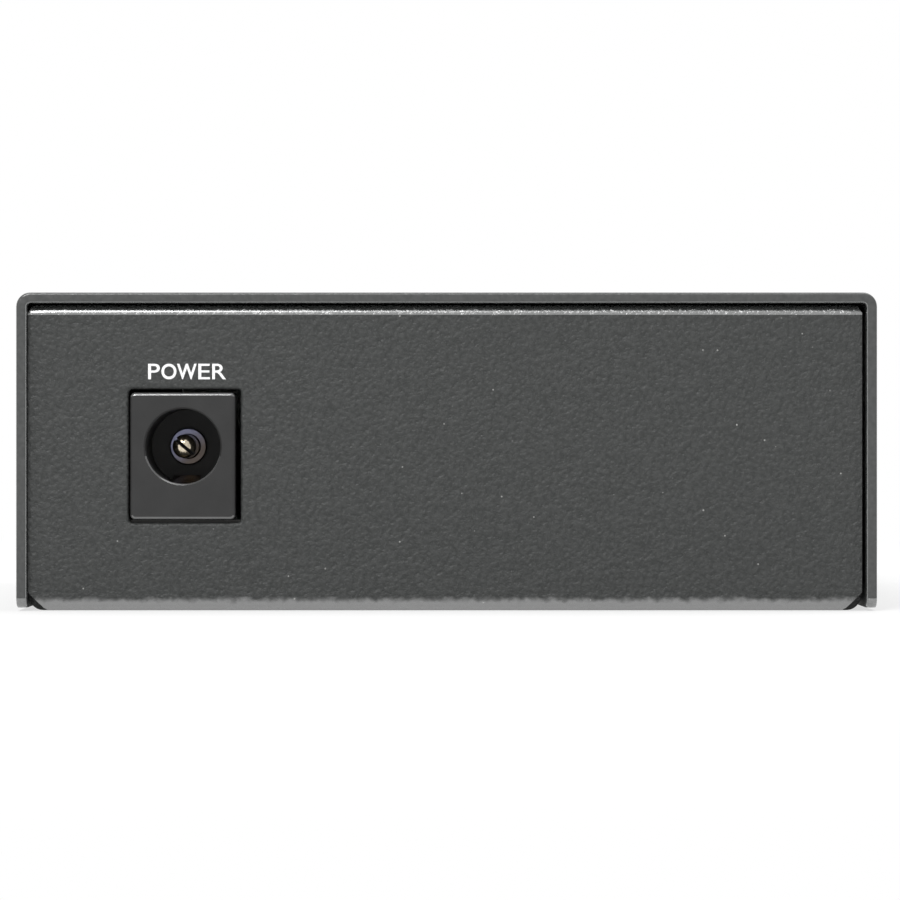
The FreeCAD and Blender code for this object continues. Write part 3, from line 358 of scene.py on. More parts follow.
MADE_FINISHES = (
    # what the parts are made of
    powder_coat("powder_coat"),
    moulded("jack_plastic", (0.015,) * 3, (0.021,) * 3, 0.36, specular=0.44),
    moulded("black_plastic", (0.014,) * 3, (0.022,) * 3),
    moulded("port_insert", (0.02, 0.07, 0.27), (0.03, 0.10, 0.33)),
    moulded("slider_plastic", (0.62, 0.62, 0.57), (0.70, 0.70, 0.66)),
    moulded("package_plastic", (0.013,) * 3, (0.02,) * 3, 0.5),
    moulded("lamp_lens", (0.20, 0.33, 0.17), (0.26, 0.40, 0.22), 0.2),
    moulded("capacitor_sleeve", (0.016, 0.016, 0.03), (0.022, 0.022, 0.04), 0.25),
    moulded("ferrite", (0.04, 0.037, 0.037), (0.06, 0.056, 0.056), 0.6),
    laminate(),
    plated("nickel", (0.66, 0.58, 0.46), (0.80, 0.72, 0.60), 0.18),
    plated("zinc_steel", (0.50, 0.52, 0.53), (0.64, 0.65, 0.66), 0.3),
    plated("turned_steel", (0.48, 0.48, 0.47), (0.62, 0.62, 0.61), 0.3),
    plated("tinned_shield", (0.56, 0.56, 0.54), (0.64, 0.64, 0.62), 0.24, 3.0),
    plated("tinned_lead", (0.5, 0.5, 0.48), (0.66, 0.66, 0.64), 0.35),
    plated("gold_plate", (0.70, 0.45, 0.14), (0.85, 0.60, 0.24), 0.25),
    plated("blackened_steel", (0.05,) * 3, (0.09,) * 3, 0.4),
    # edges, folds, the bore, the pin's tip and its collar: copies of the same things, several
    # lightened, darkened or tinted as painted highlight, reflection or shade
    powder_coat("powder_coat_cut_edge", 0.8, 0.30, 0.03),
    # the coat lightened 1.8 times as a painted highlight, and glossier, for the top folds, the
    # cover's inner rims and its lower corners
    powder_coat("powder_coat_bend_painted_highlight", 1.0, 0.24, 0.15, 1.8, coat=1.0, coat_gloss=0.192, coat_ior=2.3),
    foot_coat(),
    # a slightly lighter, glossier copy of the inlet's plastic: a painted highlight for its edges
    moulded("jack_plastic_edge_painted_highlight", (0.017,) * 3, (0.022,) * 3, 0.24, coat=1.0),
    # the inlet's plastic made lighter inside the bore, painted light; it also colours the walls of
    # the pin's slit dark, painted shade
    moulded("jack_plastic_painted_bore_light_and_slit_shade", (0.021,) * 3, (0.028,) * 3, 0.55, specular=0.6),
    # dark and light clouds of colour on the pin's tip: painted reflections standing in for its dark
    # and bright lobes
    plated("tip_painted_reflection", (0.30, 0.25, 0.18), (0.85, 0.76, 0.60), 0.14, 0.45, 0.08),
    collar_painted_reflection_and_shade(),
    moulded("print_ink", (0.90, 0.90, 0.90), (0.95, 0.95, 0.95), 0.5),
)
FINISHES = {made.name: made.material for made in MADE_FINISHES}

# every CAD node wears the finish of its slot
for row in frame["record"]["subparts"]:
    node = frame["nodes"][row["node"]]
    node.data.materials.clear()
    node.data.materials.append(FINISHES[row["material_slot"]])


# ------------------------------------------------------------------ bench tools
def put_down():
    """Object mode with nothing selected."""
    if bpy.context.mode != "OBJECT":
        bpy.ops.object.mode_set(mode="OBJECT")
    bpy.ops.object.select_all(action="DESELECT")


def take(piece):
    """Selects one piece alone and makes it the active one."""
    put_down()
    piece.select_set(True)
    bpy.context.view_layer.objects.active = piece


def settle():
    """Puts the active object's place, turn and size into its mesh."""
    bpy.ops.object.transform_apply(location=True, rotation=True, scale=True)
    return bpy.context.object


def block(low, high):
    """A block between two corners given in millimetres."""
    put_down()
    low, high = Vector(low) * MM, Vector(high) * MM
    bpy.ops.mesh.primitive_cube_add(size=1.0, location=(low + high) / 2)
    bpy.context.object.scale = high - low
    return settle()


TURNS = {"X": (0, math.pi / 2, 0), "Y": (-math.pi / 2, 0, 0), "Z": (0, 0, 0)}


def bar(start, axis, length, radius, end_radius=None, sides=48, spin=0.0):
    """A round bar or cone from a start point along an axis, in millimetres."""
    put_down()
    step = Vector((axis == "X", axis == "Y", axis == "Z")) * length
    turn = Vector(TURNS[axis]) + Vector((0 if length > 0 else math.pi, 0, spin))
    bpy.ops.mesh.primitive_cone_add(
        vertices=sides,
        radius1=radius * MM,
        radius2=(radius if end_radius is None else end_radius) * MM,
        depth=abs(length) * MM,
        location=(Vector(start) + step / 2) * MM,
        rotation=turn,
    )
    return settle()


def select(piece, kind, test):
    """Enters edit mode with the faces or edges that pass a test.

    A face is tested by its middle and normal, an edge by its middle and direction, with
    places in millimetres.
    """
    take(piece)
    bpy.ops.object.mode_set(mode="EDIT")
    bpy.ops.mesh.select_mode(type=kind)
    bpy.ops.mesh.select_all(action="DESELECT")
    bpy.ops.object.mode_set(mode="OBJECT")
    mesh = piece.data
    if kind == "FACE":
        for face in mesh.polygons:
            face.select = test(face.center / MM, face.normal)
    else:
        for edge in mesh.edges:
            a, b = (mesh.vertices[n].co / MM for n in edge.vertices)
            edge.select = test((a + b) / 2, (b - a).normalized())
    bpy.ops.object.mode_set(mode="EDIT")


def near(a, b, reach=0.02):
    return abs(a - b) < reach


def lengthways(place, direction):
    """An edge that runs along the case's depth, as the corners of a window or a port do."""
    return abs(direction.y) > 0.9


def delete_faces(piece, test):
    select(piece, "FACE", test)
    bpy.ops.mesh.delete(type="FACE")
    put_down()


def round_edges(piece, test, radius, segments=4, clamp=True):
    select(piece, "EDGE", test)
    bpy.ops.mesh.bevel(
        offset=radius * MM, segments=segments, affect="EDGES", profile=0.5, clamp_overlap=clamp
    )
    put_down()


def bisected(piece, test, place, normal, trim=False):
    """Splits the faces that pass a test along a plane; a trim drops what lies beyond it."""
    select(piece, "FACE", test)
    bpy.ops.mesh.bisect(plane_co=Vector(place) * MM, plane_no=normal, clear_outer=trim)
    put_down()


def worked(piece, kind, **settings):
    """Adds one modifier to a piece and applies it."""
    take(piece)
    modifier = piece.modifiers.new(kind.lower(), kind)
    for key, value in settings.items():
        setattr(modifier, key, value)
    bpy.ops.object.modifier_apply(modifier=modifier.name)
    return piece


def thicken(piece, thickness):
    return worked(piece, "SOLIDIFY", thickness=thickness * MM, offset=-1.0, use_even_offset=True)


def soften(piece, radius, segments=2, angle=40):
    """Rounds every edge that is sharper than an angle."""
    return worked(
        piece,
        "BEVEL",
        width=radius * MM,
        segments=segments,
        limit_method="ANGLE",
        angle_limit=math.radians(angle),
        harden_normals=False,
        use_clamp_overlap=True,
    )


def combined(piece, others, operation):
    for other in others:
        worked(piece, "BOOLEAN", operation=operation, object=other, solver="EXACT")
        bpy.data.objects.remove(other)
    return piece


def cut(piece, *cutters):
    return combined(piece, cutters, "DIFFERENCE")


def fused(piece, *others):
    return combined(piece, others, "UNION")


def joined(pieces):
    """Several loose pieces as one object."""
    put_down()
    for piece in pieces:
        piece.select_set(True)
    bpy.context.view_layer.objects.active = pieces[0]
    bpy.ops.object.join()
    return bpy.context.object


def copied(piece, x=0.0, y=0.0, z=0.0):
    """A copy with its own mesh, moved by millimetres."""
    take(piece)
    bpy.ops.object.duplicate()
    bpy.ops.transform.translate(value=(x * MM, y * MM, z * MM))
    return settle()


def coat_faces(piece, finish, test):
    """Gives the faces that pass a test another finish."""
    piece.data.materials.append(FINISHES[finish])
    for face in piece.data.polygons:
        if test(face.center / MM, face.normal):
            face.material_index = len(piece.data.materials) - 1


def hand_over(piece, name, slot, node=None, body="case", finish=None):
    """Names a finished piece, gives it its finish and body, and lets it stand for a CAD node."""
    take(piece)
    bpy.ops.object.shade_smooth_by_angle(angle=math.radians(35))
    worked(piece, "WEIGHTED_NORMAL", keep_sharp=True)
    piece.name = piece.data.name = name
    piece.data.materials.clear()
    piece.data.materials.append(FINISHES[finish or slot])
    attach(piece, body)
    if node:
        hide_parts(node)


def refine(node, name, slot, radius, body="case"):
    """Makes a piece from a CAD node: doubled points merged, and sharp edges rounded."""
    take(frame["nodes"][node])
    bpy.ops.object.duplicate()
    piece = bpy.context.object
    piece.data = piece.data.copy()
    bpy.ops.object.mode_set(mode="EDIT")
    bpy.ops.mesh.select_all(action="SELECT")
    bpy.ops.mesh.remove_doubles(threshold=0.001 * MM)
    bpy.ops.mesh.dissolve_limited(angle_limit=math.radians(1))
    put_down()
    soften(piece, radius, 2, 30)
    hand_over(piece, name, slot, node, body)


# ------------------------------------------------------------------ case
def make_cover():
    """The cover is folded from a block's skin, then slotted and drilled."""
    cover = block(COVER_LOW, COVER_HIGH)
    delete_faces(cover, lambda p, n: n.z < -0.9 or abs(n.y) > 0.9)
    round_edges(cover, lambda p, d: near(p.z, COVER_HIGH.z) and lengthways(p, d), FOLD, 8)
    thicken(cover, SHEET)
    lower_corner = lambda p, d: abs(d.x) > 0.9 and near(p.z, COVER_LOW.z) and abs(p.y) > 40
    round_edges(cover, lower_corner, COVER_CORNER, 5)
    in_a_skin = lambda p: not 0.2 < depth_in_cover(p) < SHEET - 0.2
    round_edges(cover, lambda p, d: abs(p.y) > COVER_HIGH.y - 0.75 and in_a_skin(p), 0.22, 3, False)
    slot = block(SLOT_LOW, SLOT_HIGH)
    round_edges(slot, lambda p, d: abs(d.x) > 0.9, SLOT_ROUNDING, 8)
    cut(cover, joined([slot] + [copied(slot, y=SLOT_PITCH * n) for n in range(1, SLOT_COUNT)]))
    for side in (-1, 1):
        for y in (-SCREW_Y, SCREW_Y):
            face = (side * (COVER_HIGH.x + 0.01), y, SCREW_Z)
            depth = -side * (SHEET + 0.02)
            cut(cover, bar(face, "X", depth, COUNTERSINK, COUNTERSINK - SHEET))
    soften(cover, 0.12)
    hand_over(cover, "cover_sheet", "powder_coat", "cover")
    coat_faces(cover, "powder_coat_cut_edge", on_cut_edge)
    # the inner rims and lower corners take the coat lightened as a painted highlight
    coat_faces(cover, "powder_coat_bend_painted_highlight", on_cover_rim)


def depth_in_cover(place):
    """How far a place in the cover's sheet lies under its outer skin."""
    x = min(place.x - COVER_LOW.x, COVER_HIGH.x - place.x)
    z = COVER_HIGH.z - place.z
    if x < FOLD and z < FOLD:
        return FOLD - math.hypot(FOLD - x, FOLD - z)
    return min(x, z)


def on_cut_edge(place, normal):
    """The cover's sawn ends, with their rounded rims."""
    return abs(place.y) > COVER_HIGH.y - 0.25 and abs(normal.y) > 0.1


def on_cover_rim(place, normal):
    """The inner rims of the cover's cut ends, and its rounded lower corners, which take the
    lightened coat as a painted highlight.
    """
    inner = depth_in_cover(place) > SHEET / 2
    rim = on_cut_edge(place, normal) and abs(normal.y) < 0.95 and inner
    low_down = place.z < COVER_LOW.z + COVER_CORNER + 0.01 and normal.z < -0.1
    return rim or (abs(place.y) > COVER_HIGH.y - 0.85 and low_down)


def make_tray():
    """The tray: floor, two end panels with top folds, two side flanges with threaded collars."""
    tray = block(TRAY_LOW, TRAY_HIGH)
    end = TRAY_HIGH.y
    fold_level = TRAY_HIGH.z - TOP_FOLD
    sides = ((TRAY_LOW.x, -1), (TRAY_HIGH.x, 1))
    everywhere = lambda p, n: True
    for side in (-1, 1):
        bisected(tray, everywhere, (0, side * (end - TOP_FOLD_DEPTH), 0), (0, 1, 0))
    for edge, side in sides:
        bisected(tray, everywhere, (edge - side * CORNER_CUT, 0, 0), (1, 0, 0))
    delete_faces(tray, lambda p, n: abs(n.x) > 0.9)
    delete_faces(tray, lambda p, n: n.z > 0.9 and near(p.y, 0, 1))
    for level, radius in ((TRAY_LOW.z, FOLD), (TRAY_HIGH.z, TOP_FOLD)):
        on_fold = lambda p, d: abs(d.x) > 0.9 and near(abs(p.y), end) and near(p.z, level)
        round_edges(tray, on_fold, radius, 8)
    for edge, side in sides:
        inner = edge - side * CORNER_CUT
        beside_floor = lambda p: abs(p.y) < end - FOLD and side * (p.x - inner) > 0
        delete_faces(tray, lambda p, n: n.z < -0.9 and beside_floor(p))
        below = lambda p, n: abs(p.y) > end - FOLD and p.z < fold_level
        bisected(tray, below, (inner, 0, TRAY_LOW.z), (side, 0, -1), trim=True)
        above = lambda p, n: p.z > fold_level
        bisected(tray, above, (edge, 0, fold_level + 0.02), (side, 0, END_LEAN), trim=True)
    thicken(tray, SHEET)
    fused(tray, *[side_flange(edge, side) for edge, side in sides])
    collars = [
        bar((edge - side * (SHEET + 0.9), y, SCREW_Z), "X", side * 1.2, COLLAR)
        for edge, side in sides
        for y in (-SCREW_Y, SCREW_Y)
    ]
    fused(tray, *collars)
    cut(tray, *tray_windows())
    round_edges(tray, on_inlet_window, 0.34, 4)
    soften(tray, 0.18, 3, 50)
    hand_over(tray, "tray_sheet", "powder_coat", "base_tray")
    # the top folds take the coat lightened as a painted highlight
    coat_faces(tray, "powder_coat_bend_painted_highlight", on_top_fold)
    coat_faces(tray, "powder_coat_foot", on_foot_fold)


def side_flange(edge, side):
    """A side of the tray, with the fold and the strip of floor that it grows from."""
    end = TRAY_HIGH.y - FOLD - 0.25
    low_x, high_x = sorted((edge - side * (FOLD + 1.3), edge))
    flange = block((low_x, -end, TRAY_LOW.z), (high_x, end, FLANGE_HEIGHT))
    delete_faces(flange, lambda p, n: n.z > 0.9 or abs(n.y) > 0.9 or side * n.x < -0.9)
    on_fold = lambda p, d: lengthways(p, d) and near(p.z, TRAY_LOW.z) and near(p.x, edge)
    round_edges(flange, on_fold, FOLD, 6)
    return thicken(flange, SHEET)


def on_inlet_window(place, direction):
    """The edges of the inlet's window that show from outside."""
    reach = 0.5
    across = JACK_LOW.x - reach < place.x < JACK_HIGH.x + reach
    up = JACK_LOW.z - reach < place.z < JACK_HIGH.z + reach
    return near(place.y, TRAY_LOW.y) and across and up


def on_end_fold(place, normal):
    """A fold of either end panel: tilted, and close to the end."""
    tilted = abs(normal.z) > 0.02 and abs(normal.y) > 0.02 and abs(normal.x) < 0.9
    return tilted and abs(place.y) > TRAY_HIGH.y - 1.3


def on_top_fold(place, normal):
    return on_end_fold(place, normal) and place.z > TRAY_HIGH.z - TOP_FOLD - 0.05


def on_foot_fold(place, normal):
    return on_end_fold(place, normal) and place.z < TRAY_LOW.z + FOLD + 0.9


def window(low, high, rounding=0.3, segments=4):
    """A cutter with rounded corners for an opening in an end panel."""
    opening = block(low, high)
    round_edges(opening, lengthways, rounding, segments)
    return opening


def tray_windows():
    """The cutters for everything that opens through the tray."""
    front, back = TRAY_LOW.y, TRAY_HIGH.y
    tray_middle = (TRAY_LOW.x + TRAY_HIGH.x) / 2
    yield window(
        (JACK_LOW.x - 0.09, front - 1, JACK_LOW.z - 0.25),
        (JACK_HIGH.x + 0.41, front + 2, JACK_HIGH.z + 0.25),
    )
    ports = (
        ("copper_socket_shield", SOCKET_FOOT, 0.3),
        ("fibre_receptacle", RECEPTACLE_FOOT, 0.25),
    )
    for node, foot, gap in ports:
        low, high = box(node)
        yield window(
            (low.x - gap, back - 2, foot - gap), (high.x + gap, back + 1, high.z + gap)
        )
    left = tray_middle + SWITCH_SHIFT - SWITCH_OPENING / 2
    yield window((left, back - 2, 8.3), (left + SWITCH_OPENING, back + 1, 10.8), 0.25, 3)
    for number in LAMP_NUMBERS:
        x, z = lamp_axis(number)
        yield bar((x, back - 2, z), "Y", 3, LAMP_HOLE)
    for side in (-1, 1):
        for y in (-SCREW_Y, SCREW_Y):
            yield bar((side * 32 + tray_middle, y, SCREW_Z), "X", side * 5, THREAD_HOLE)
    for x, y in STANDOFF_PLACES:
        corner = HEAD_FLATS / math.sqrt(3) + PRESS_GAP
        yield bar((x, y, -1), "Z", 3, corner, sides=6, spin=math.pi / 6)


def cross_cutter(place, axis):
    """Two crossed slots that narrow as they go down, to fit a screwdriver's tip."""
    arms = []
    for x, y in ((ARM_LENGTH, ARM_HALF_WIDTH), (ARM_HALF_WIDTH, ARM_LENGTH)):
        arm = block((-x, -y, -RECESS_DEPTH), (x, y, 0.1))
        select(arm, "FACE", lambda p, n: n.z < -0.9)
        foot = (0, 0, -RECESS_DEPTH * MM)
        bpy.ops.transform.resize(value=(0.55, 0.55, 1), center_override=foot)
        put_down()
        arms.append(arm)
    cross = fused(*arms)
    cross.rotation_euler = Vector((0, 0, 1)).rotation_difference(Vector(axis)).to_euler()
    cross.location = Vector(place) * MM
    take(cross)
    return settle()


def make_cover_screws():
    """Four countersunk screws: each a flat cone and shank with a cross recess."""
    low, high = box("cover_screws")
    screws = []
    for face, side in ((low.x, -1), (high.x, 1)):
        for y in (-SCREW_Y, SCREW_Y):
            head = bar((face, y, SCREW_Z), "X", -side * SHEET, SCREW_HEAD, THREAD)
            shank = bar((face - side * 0.8, y, SCREW_Z), "X", -side * 3.2, THREAD)
            fused(head, shank)
            cut(head, cross_cutter((face, y, SCREW_Z), (side, 0, 0)))
            screws.append(soften(head, 0.06, 2, 30))
    hand_over(joined(screws), "cover_screw_set", "blackened_steel", "cover_screws")


# ------------------------------------------------------------------ power inlet
def make_jack():
    """The inlet's moulding: square face block, round-backed body, bore with a small rim."""
    front = JACK_LOW.y
    face = block(JACK_LOW, (JACK_HIGH.x, front + FACE_DEPTH, JACK_HIGH.z))
    round_edges(face, lengthways, 0.45, 6)
    round_edges(face, lambda p, d: near(p.y, front) and abs(d.y) < 0.1, 0.36, 6)
    body = block((JACK_LOW.x, front + 3.0, JACK_LOW.z), (JACK_HIGH.x, JACK_HIGH.y, BORE_Z))
    fused(body, bar((JACK_X, front + 3.0, BORE_Z), "Y", 11.4, BARREL, sides=64))
    fused(face, body)
    bore = bar((JACK_X, front - 1, BORE_Z), "Y", 10.6, BORE, sides=96)
    rim = bar((JACK_X, front - 0.06, BORE_Z), "Y", 0.5, BORE + 0.19, BORE - 0.31, sides=96)
    spring_slot = block(
        (JACK_X - 1.5, front + 2.2, JACK_LOW.z + 1.7), (JACK_X + 1.5, front + 9.3, BORE_Z)
    )
    leg_slot = block((JACK_X - 1.5, front + 8.7, -1), (JACK_X + 1.5, front + 9.3, BORE_Z - 4.0))
    pin_hole = bar((JACK_X, front + 8.6, BORE_Z), "Y", 6.0, PIN)
    terminal_slot = block(
        (JACK_X - 1.6, TERMINAL_Y, -1), (JACK_X + 1.6, JACK_HIGH.y + 1, BORE_Z + 2.1)
    )
    cut(face, bore, rim, spring_slot, leg_slot, pin_hole, terminal_slot)
    hand_over(face, "power_inlet", "jack_plastic", "power_jack_housing")
    coat_faces(face, "jack_plastic_edge_painted_highlight", on_jack_edge)
    # the bore's walls and floor take the lightened plastic, a painted light
    coat_faces(face, "jack_plastic_painted_bore_light_and_slit_shade", in_bore)


def on_jack_edge(place, normal):
    """Rounded edges of the inlet's face that look up, and the lower half of its rim, which get a
    slightly lighter, glossier copy of the plastic as a painted highlight.
    """
    edge = place.y < JACK_LOW.y + 0.37 and abs(normal.y) < 0.97
    return edge and (normal.z > 0.2 or place.z < JACK_LOW.z + 0.37)


def in_bore(place, normal):
    """The walls and the floor of the inlet's bore."""
    reach = math.hypot(place.x - JACK_X, place.z - BORE_Z)
    return reach < BORE + 0.1 and place.y > JACK_LOW.y + 0.2


def make_pin():
    """Turned pin: rounded split tip, collar, and the riveted terminal behind."""
    pin = bar((JACK_X, TIP_Y, BORE_Z), "Y", PIN_LENGTH, PIN)
    round_edges(pin, lambda p, d: near(p.y, TIP_Y, 0.01), 0.92, 10)
    blade = block(
        (JACK_X - 2, TIP_Y - 0.1, BORE_Z - SLIT_HALF),
        (JACK_X + 2, TIP_Y + SLIT_LENGTH, BORE_Z + SLIT_HALF),
    )
    select(blade, "FACE", lambda p, n: True)
    bpy.ops.transform.rotate(
        value=math.radians(-SLIT_TURN),
        orient_axis="Y",
        center_override=(JACK_X * MM, TIP_Y * MM, BORE_Z * MM),
    )
    put_down()
    cut(pin, blade)
    soften(pin, 0.03, 2, 35)
    terminal = block(
        (JACK_X - 1.3, TERMINAL_Y, 5.0), (JACK_X + 1.3, TERMINAL_Y + 0.3, BORE_Z + 1.8)
    )
    round_edges(terminal, lengthways, 0.3, 3)
    pin = joined([pin, soften(terminal, 0.05)])
    hand_over(pin, "inlet_pin", "nickel", "power_jack_pin")
    # the tip's colour clouds are painted reflections
    coat_faces(pin, "tip_painted_reflection", lambda p, n: p.y < TIP_Y + 1.5)
    # the slit's metal walls are coloured as the dark plastic, a painted shade
    coat_faces(pin, "jack_plastic_painted_bore_light_and_slit_shade", in_slit)
    collar = bar((JACK_X, JACK_LOW.y + 8.8, BORE_Z), "Y", 0.8, PIN_COLLAR, sides=64)
    cut(collar, bar((JACK_X, JACK_LOW.y + 8, BORE_Z), "Y", 2, PIN + 0.005))
    soften(collar, 0.12, 3)
    hand_over(collar, "inlet_pin_collar", "nickel", finish="collar_painted_reflection_and_shade")


def in_slit(place, normal):
    """The walls and the floor of the slit in the pin, which are given the dark plastic as painted
    shade.
    """
    slant = math.radians(90 - SLIT_TURN)
    off = (place.x - JACK_X) * math.cos(slant) + (place.z - BORE_Z) * math.sin(slant)
    along = place.y - TIP_Y
    return abs(off) < SLIT_HALF + 0.01 and 0.1 < along < SLIT_LENGTH + 0.2


def span(shape, axis):
    """The lowest and the highest place of a shape's corners along one axis, in millimetres."""
    places = [vertex.co[axis] / MM for vertex in shape.data.vertices]
    return min(places), max(places)


def make_print():
    """White screen-printed word over the inlet, each letter fitted to its own width."""
    word_left = JACK_X + 0.36 - WORD_WIDTH / 2
    word_foot = JACK_HIGH.z + 1.75 - WORD_HEIGHT / 2
    letters = []
    for letter, start, width, bolder in LETTERS:
        put_down()
        bpy.ops.object.text_add()
        bpy.context.object.data.body = letter
        bpy.context.object.data.offset = bolder
        bpy.ops.object.convert(target="MESH")
        shape = bpy.context.object
        (left, right), (foot, top) = span(shape, 0), span(shape, 1)
        shape.scale = (width / (right - left), WORD_HEIGHT / (top - foot), 1)
        bpy.ops.object.transform_apply(location=False, rotation=False, scale=True)
        (left, right), (foot, top) = span(shape, 0), span(shape, 1)
        shape.rotation_euler = (math.pi / 2, 0, 0)
        place = Vector((word_left + start - left, TRAY_LOW.y - INK, word_foot - foot))
        shape.location = place * MM
        letters.append(settle())
    word = worked(joined(letters), "SOLIDIFY", thickness=0.02 * MM, offset=-1.0)
    hand_over(word, "power_print", "powder_coat", finish="print_ink")


# ------------------------------------------------------------------ port end
def lamp_axis(number):
    """The X and Z of a lamp's middle."""
    low, high = box(f"lamp_{number}")
    return (low.x + high.x) / 2, (low.z + high.z) / 2


def make_lamps():
    """Six lamps, each a round body with a domed tip."""
    for number in LAMP_NUMBERS:
        low, high = box(f"lamp_{number}")
        x, z = lamp_axis(number)
        lamp = bar((x, low.y, z), "Y", high.y - low.y, LAMP, sides=32)
        round_edges(lamp, lambda p, d: near(p.y, high.y, 0.01), LAMP - 0.01, 10)
        soften(lamp, 0.05, 2, 60)
        hand_over(lamp, f"lamp_dome_{number}", "lamp_lens", f"lamp_{number}")


def make_receptacle():
    """Moulded front of the fibre transceiver: two keyed ports with flared mouths."""
    low, high = box("fibre_receptacle")
    foot = high.z - 10.0
    axis = foot + 5.0
    middle = (low.x + high.x) / 2
    body = block((low.x, low.y, foot), high)

    def outer_edge(place, direction):
        on_a_side = near(place.x, low.x) or near(place.x, high.x)
        return near(place.y, high.y) or (on_a_side and lengthways(place, direction))

    def on_a_mouth(place, direction):
        across = abs(abs(place.x - middle) - PORT_SPREAD) / 1.2
        return near(place.y, high.y, 0.01) and max(across, abs(place.z - axis)) < 4.7

    round_edges(body, outer_edge, 0.3, 4)
    for x in (middle - PORT_SPREAD, middle + PORT_SPREAD):
        corner = Vector((PORT_WIDTH, 0, PORT_HEIGHT)) / 2
        middle_in = Vector((x, high.y - PORT_DEPTH, axis))
        middle_out = Vector((x, high.y + 1, axis))
        port = window(middle_in - corner, middle_out + corner, 0.25, 3)
        half_key = Vector((KEY_WIDTH / 2, 0, 0))
        key = block(middle_in - half_key, middle_out + half_key + Vector((0, 0, 4.6)))
        cut(body, fused(port, key), bar((x, low.y - 1, axis), "Y", 5, OPTIC))
    for x in (middle - PEG_SPREAD, middle + PEG_SPREAD):
        back = high.y - PORT_DEPTH - 0.25
        peg_low = (x - PEG_WIDTH / 2, back, low.z)
        fused(body, block(peg_low, (x + PEG_WIDTH / 2, back + PEG_WIDTH, foot + 0.2)))
    round_edges(body, on_a_mouth, 0.3, 3)
    soften(body, 0.06, 2, 50)
    hand_over(body, "fibre_ports", "black_plastic", "fibre_receptacle")
    make_optic("transmit", middle - PORT_SPREAD, axis)
    make_optic("receive", middle + PORT_SPREAD, axis)
    refine("fibre_port_latches", "port_latch_arms", "port_insert", 0.12)


def make_optic(name, x, axis):
    """A turned optic: seat, nose with a rounded rim, ferrule bore, and four leads behind."""
    low, high = box(f"{name}_optic")
    seat = high.y - 7.6
    start = low.y + 3.0
    optic = bar((x, start, axis), "Y", seat - start, OPTIC)
    fused(optic, bar((x, seat - 0.1, axis), "Y", 7.7, NOSE))
    cut(optic, bar((x, high.y - 6.0, axis), "Y", 7, FERRULE))
    soften(optic, 0.2, 3, 50)
    leads = []
    for lead_x in (x - 0.9, x + 0.9):
        for z in (axis - 0.7, axis + 0.7):
            lead = block((lead_x - 0.2, low.y, z - 0.2), (lead_x + 0.2, start + 0.3, z + 0.2))
            leads.append(soften(lead, 0.05))
    optic = joined([optic] + leads)
    hand_over(optic, f"{name}_ferrule_sleeve", "turned_steel", f"{name}_optic")


def make_switch():
    """The slide switch: pressed frame, and a knob with rounded edges that moves."""
    refine("switch_frame", "switch_can", "tinned_shield", 0.08)
    refine("switch_slider", "switch_knob", "slider_plastic", 0.18, body="mode_slider")


def make_small_parts():
    """Rounds the edges of the plated and moulded parts that show in the openings."""
    refine("copper_socket_shield", "copper_socket_can", "tinned_shield", 0.1)
    refine("copper_socket_housing", "copper_socket_body", "black_plastic", 0.1)
    refine("copper_socket_wires", "copper_socket_springs", "gold_plate", 0.06)
    refine("power_jack_spring", "inlet_leaf", "nickel", 0.05)
    refine("board_standoffs", "hexagon_standoffs", "zinc_steel", 0.1)
    refine("lamp_holder", "lamp_block", "black_plastic", 0.15)
    refine("transceiver_shell", "transceiver_lid", "black_plastic", 0.25)


make_cover()
make_tray()
make_cover_screws()
make_jack()
make_pin()
make_print()
make_lamps()
make_receptacle()
make_switch()
make_small_parts()


# ------------------------------------------------------------------ studio
ROOM_LIGHT = 0.34
CAMERA_X = 0.288 * MM
CAMERA_Z = 13.636 * MM
CAMERA_Y = -0.46725
TABLE_Z = -0.02 * MM  # a hair below the case, so that their faces don't meet


def seen_or_mirrored(tree):
    """One for a ray from the camera, a mirror or glass, and zero for soft light."""
    path = tree.nodes.new("ShaderNodeLightPath")
    total = path.outputs["Is Camera Ray"]
    for ray in ("Is Glossy Ray", "Is Transmission Ray"):
        most = tree.nodes.new("ShaderNodeMath")
        most.operation = "MAXIMUM"
        tree.links.new(total, most.inputs[0])
        tree.links.new(path.outputs[ray], most.inputs[1])
        total = most.outputs[0]
    return total


def make_world():
    """White where it is seen, and a softer white for the light it gives."""
    world = bpy.data.worlds.new("studio_world")
    bpy.context.scene.world = world
    world.use_nodes = True
    tree = world.node_tree
    tree.nodes.clear()
    mix = tree.nodes.new("ShaderNodeMixShader")
    tree.links.new(seen_or_mirrored(tree), mix.inputs[0])
    for socket, strength in ((1, ROOM_LIGHT), (2, 1.0)):
        light = tree.nodes.new("ShaderNodeBackground")
        light.inputs["Color"].default_value = (1, 1, 1, 1)
        light.inputs["Strength"].default_value = strength
        tree.links.new(light.outputs[0], mix.inputs[socket])
    out = tree.nodes.new("ShaderNodeOutputWorld")
    tree.links.new(mix.outputs[0], out.inputs["Surface"])


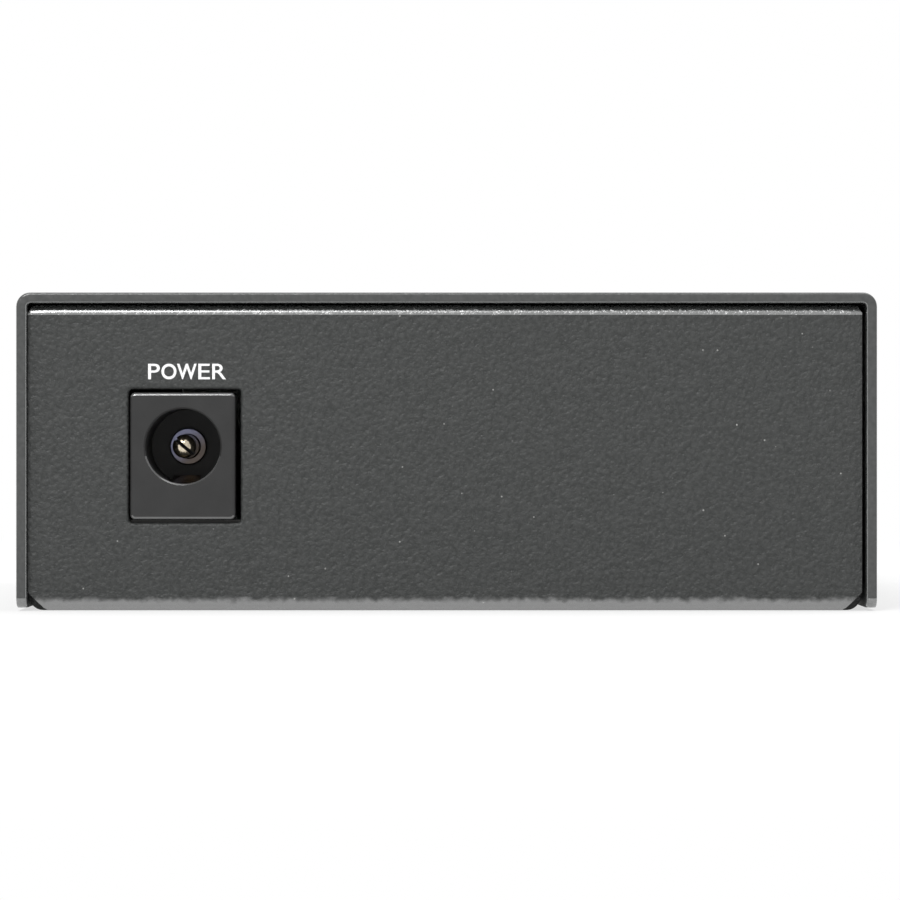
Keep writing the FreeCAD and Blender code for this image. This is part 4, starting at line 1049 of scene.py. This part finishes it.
def make_floor():
    """A pale floor that turns into plain white far from the object."""
    put_down()
    bpy.ops.mesh.primitive_plane_add(size=8.0, location=(0, 0, TABLE_Z))
    floor = settle()
    floor.name = "studio_floor"
    f = Finish("pale_floor", roughness=0.9, specular=0.1)
    f.drive("Base Color", f.ramp(f.noise(0.4), [(0.0, 0.90), (1.0, 0.94)]))
    distance = f.add("ShaderNodeVectorMath", operation="LENGTH")
    f.join(f.place, distance.inputs[0])
    far_off = f.fade(distance.outputs["Value"], 0.10, 0.30, lowest=0.65)
    white = f.add("ShaderNodeEmission")
    white.inputs["Strength"].default_value = 1.0
    mix = f.add("ShaderNodeMixShader")
    f.join(f.maths("MULTIPLY", seen_or_mirrored(f.tree), far_off), mix.inputs[0])
    f.join(f.shader.outputs[0], mix.inputs[1])
    f.join(white.outputs[0], mix.inputs[2])
    out = next(n for n in f.tree.nodes if n.type == "OUTPUT_MATERIAL")
    f.join(mix.outputs[0], out.inputs["Surface"])
    floor.data.materials.append(f.material)


def make_camera():
    """A long lens that looks level at the inlet's end."""
    data = bpy.data.cameras.new("camera")
    data.lens = 198.2
    data.sensor_width = 36.0
    eye = bpy.data.objects.new("camera", data)
    bpy.context.scene.collection.objects.link(eye)
    eye.location = (CAMERA_X, CAMERA_Y, CAMERA_Z)
    eye.rotation_euler = (math.pi / 2, 0, 0)
    bpy.context.scene.camera = eye


def soft_light(name, place, target, width, height, power):
    """A rectangular lamp that faces a point."""
    data = bpy.data.lights.new(name, "AREA")
    data.shape = "RECTANGLE"
    data.size, data.size_y = width, height
    data.energy = power
    lamp = bpy.data.objects.new(name, data)
    bpy.context.scene.collection.objects.link(lamp)
    lamp.location = place
    lamp.rotation_euler = (Vector(target) - Vector(place)).to_track_quat("-Z", "Y").to_euler()
    lamp.visible_camera = False


make_world()
make_floor()
make_camera()
soft_light("front_strip", (-0.30, -0.86, 0.74), (0, -0.04, 0.02), 0.4, 0.26, 7.6)
soft_light("overhead", (0.15, 0.25, 1.0), (0, 0, 0.02), 1.2, 1.0, 9.0)
bpy.context.scene.view_settings.view_transform = "Standard"
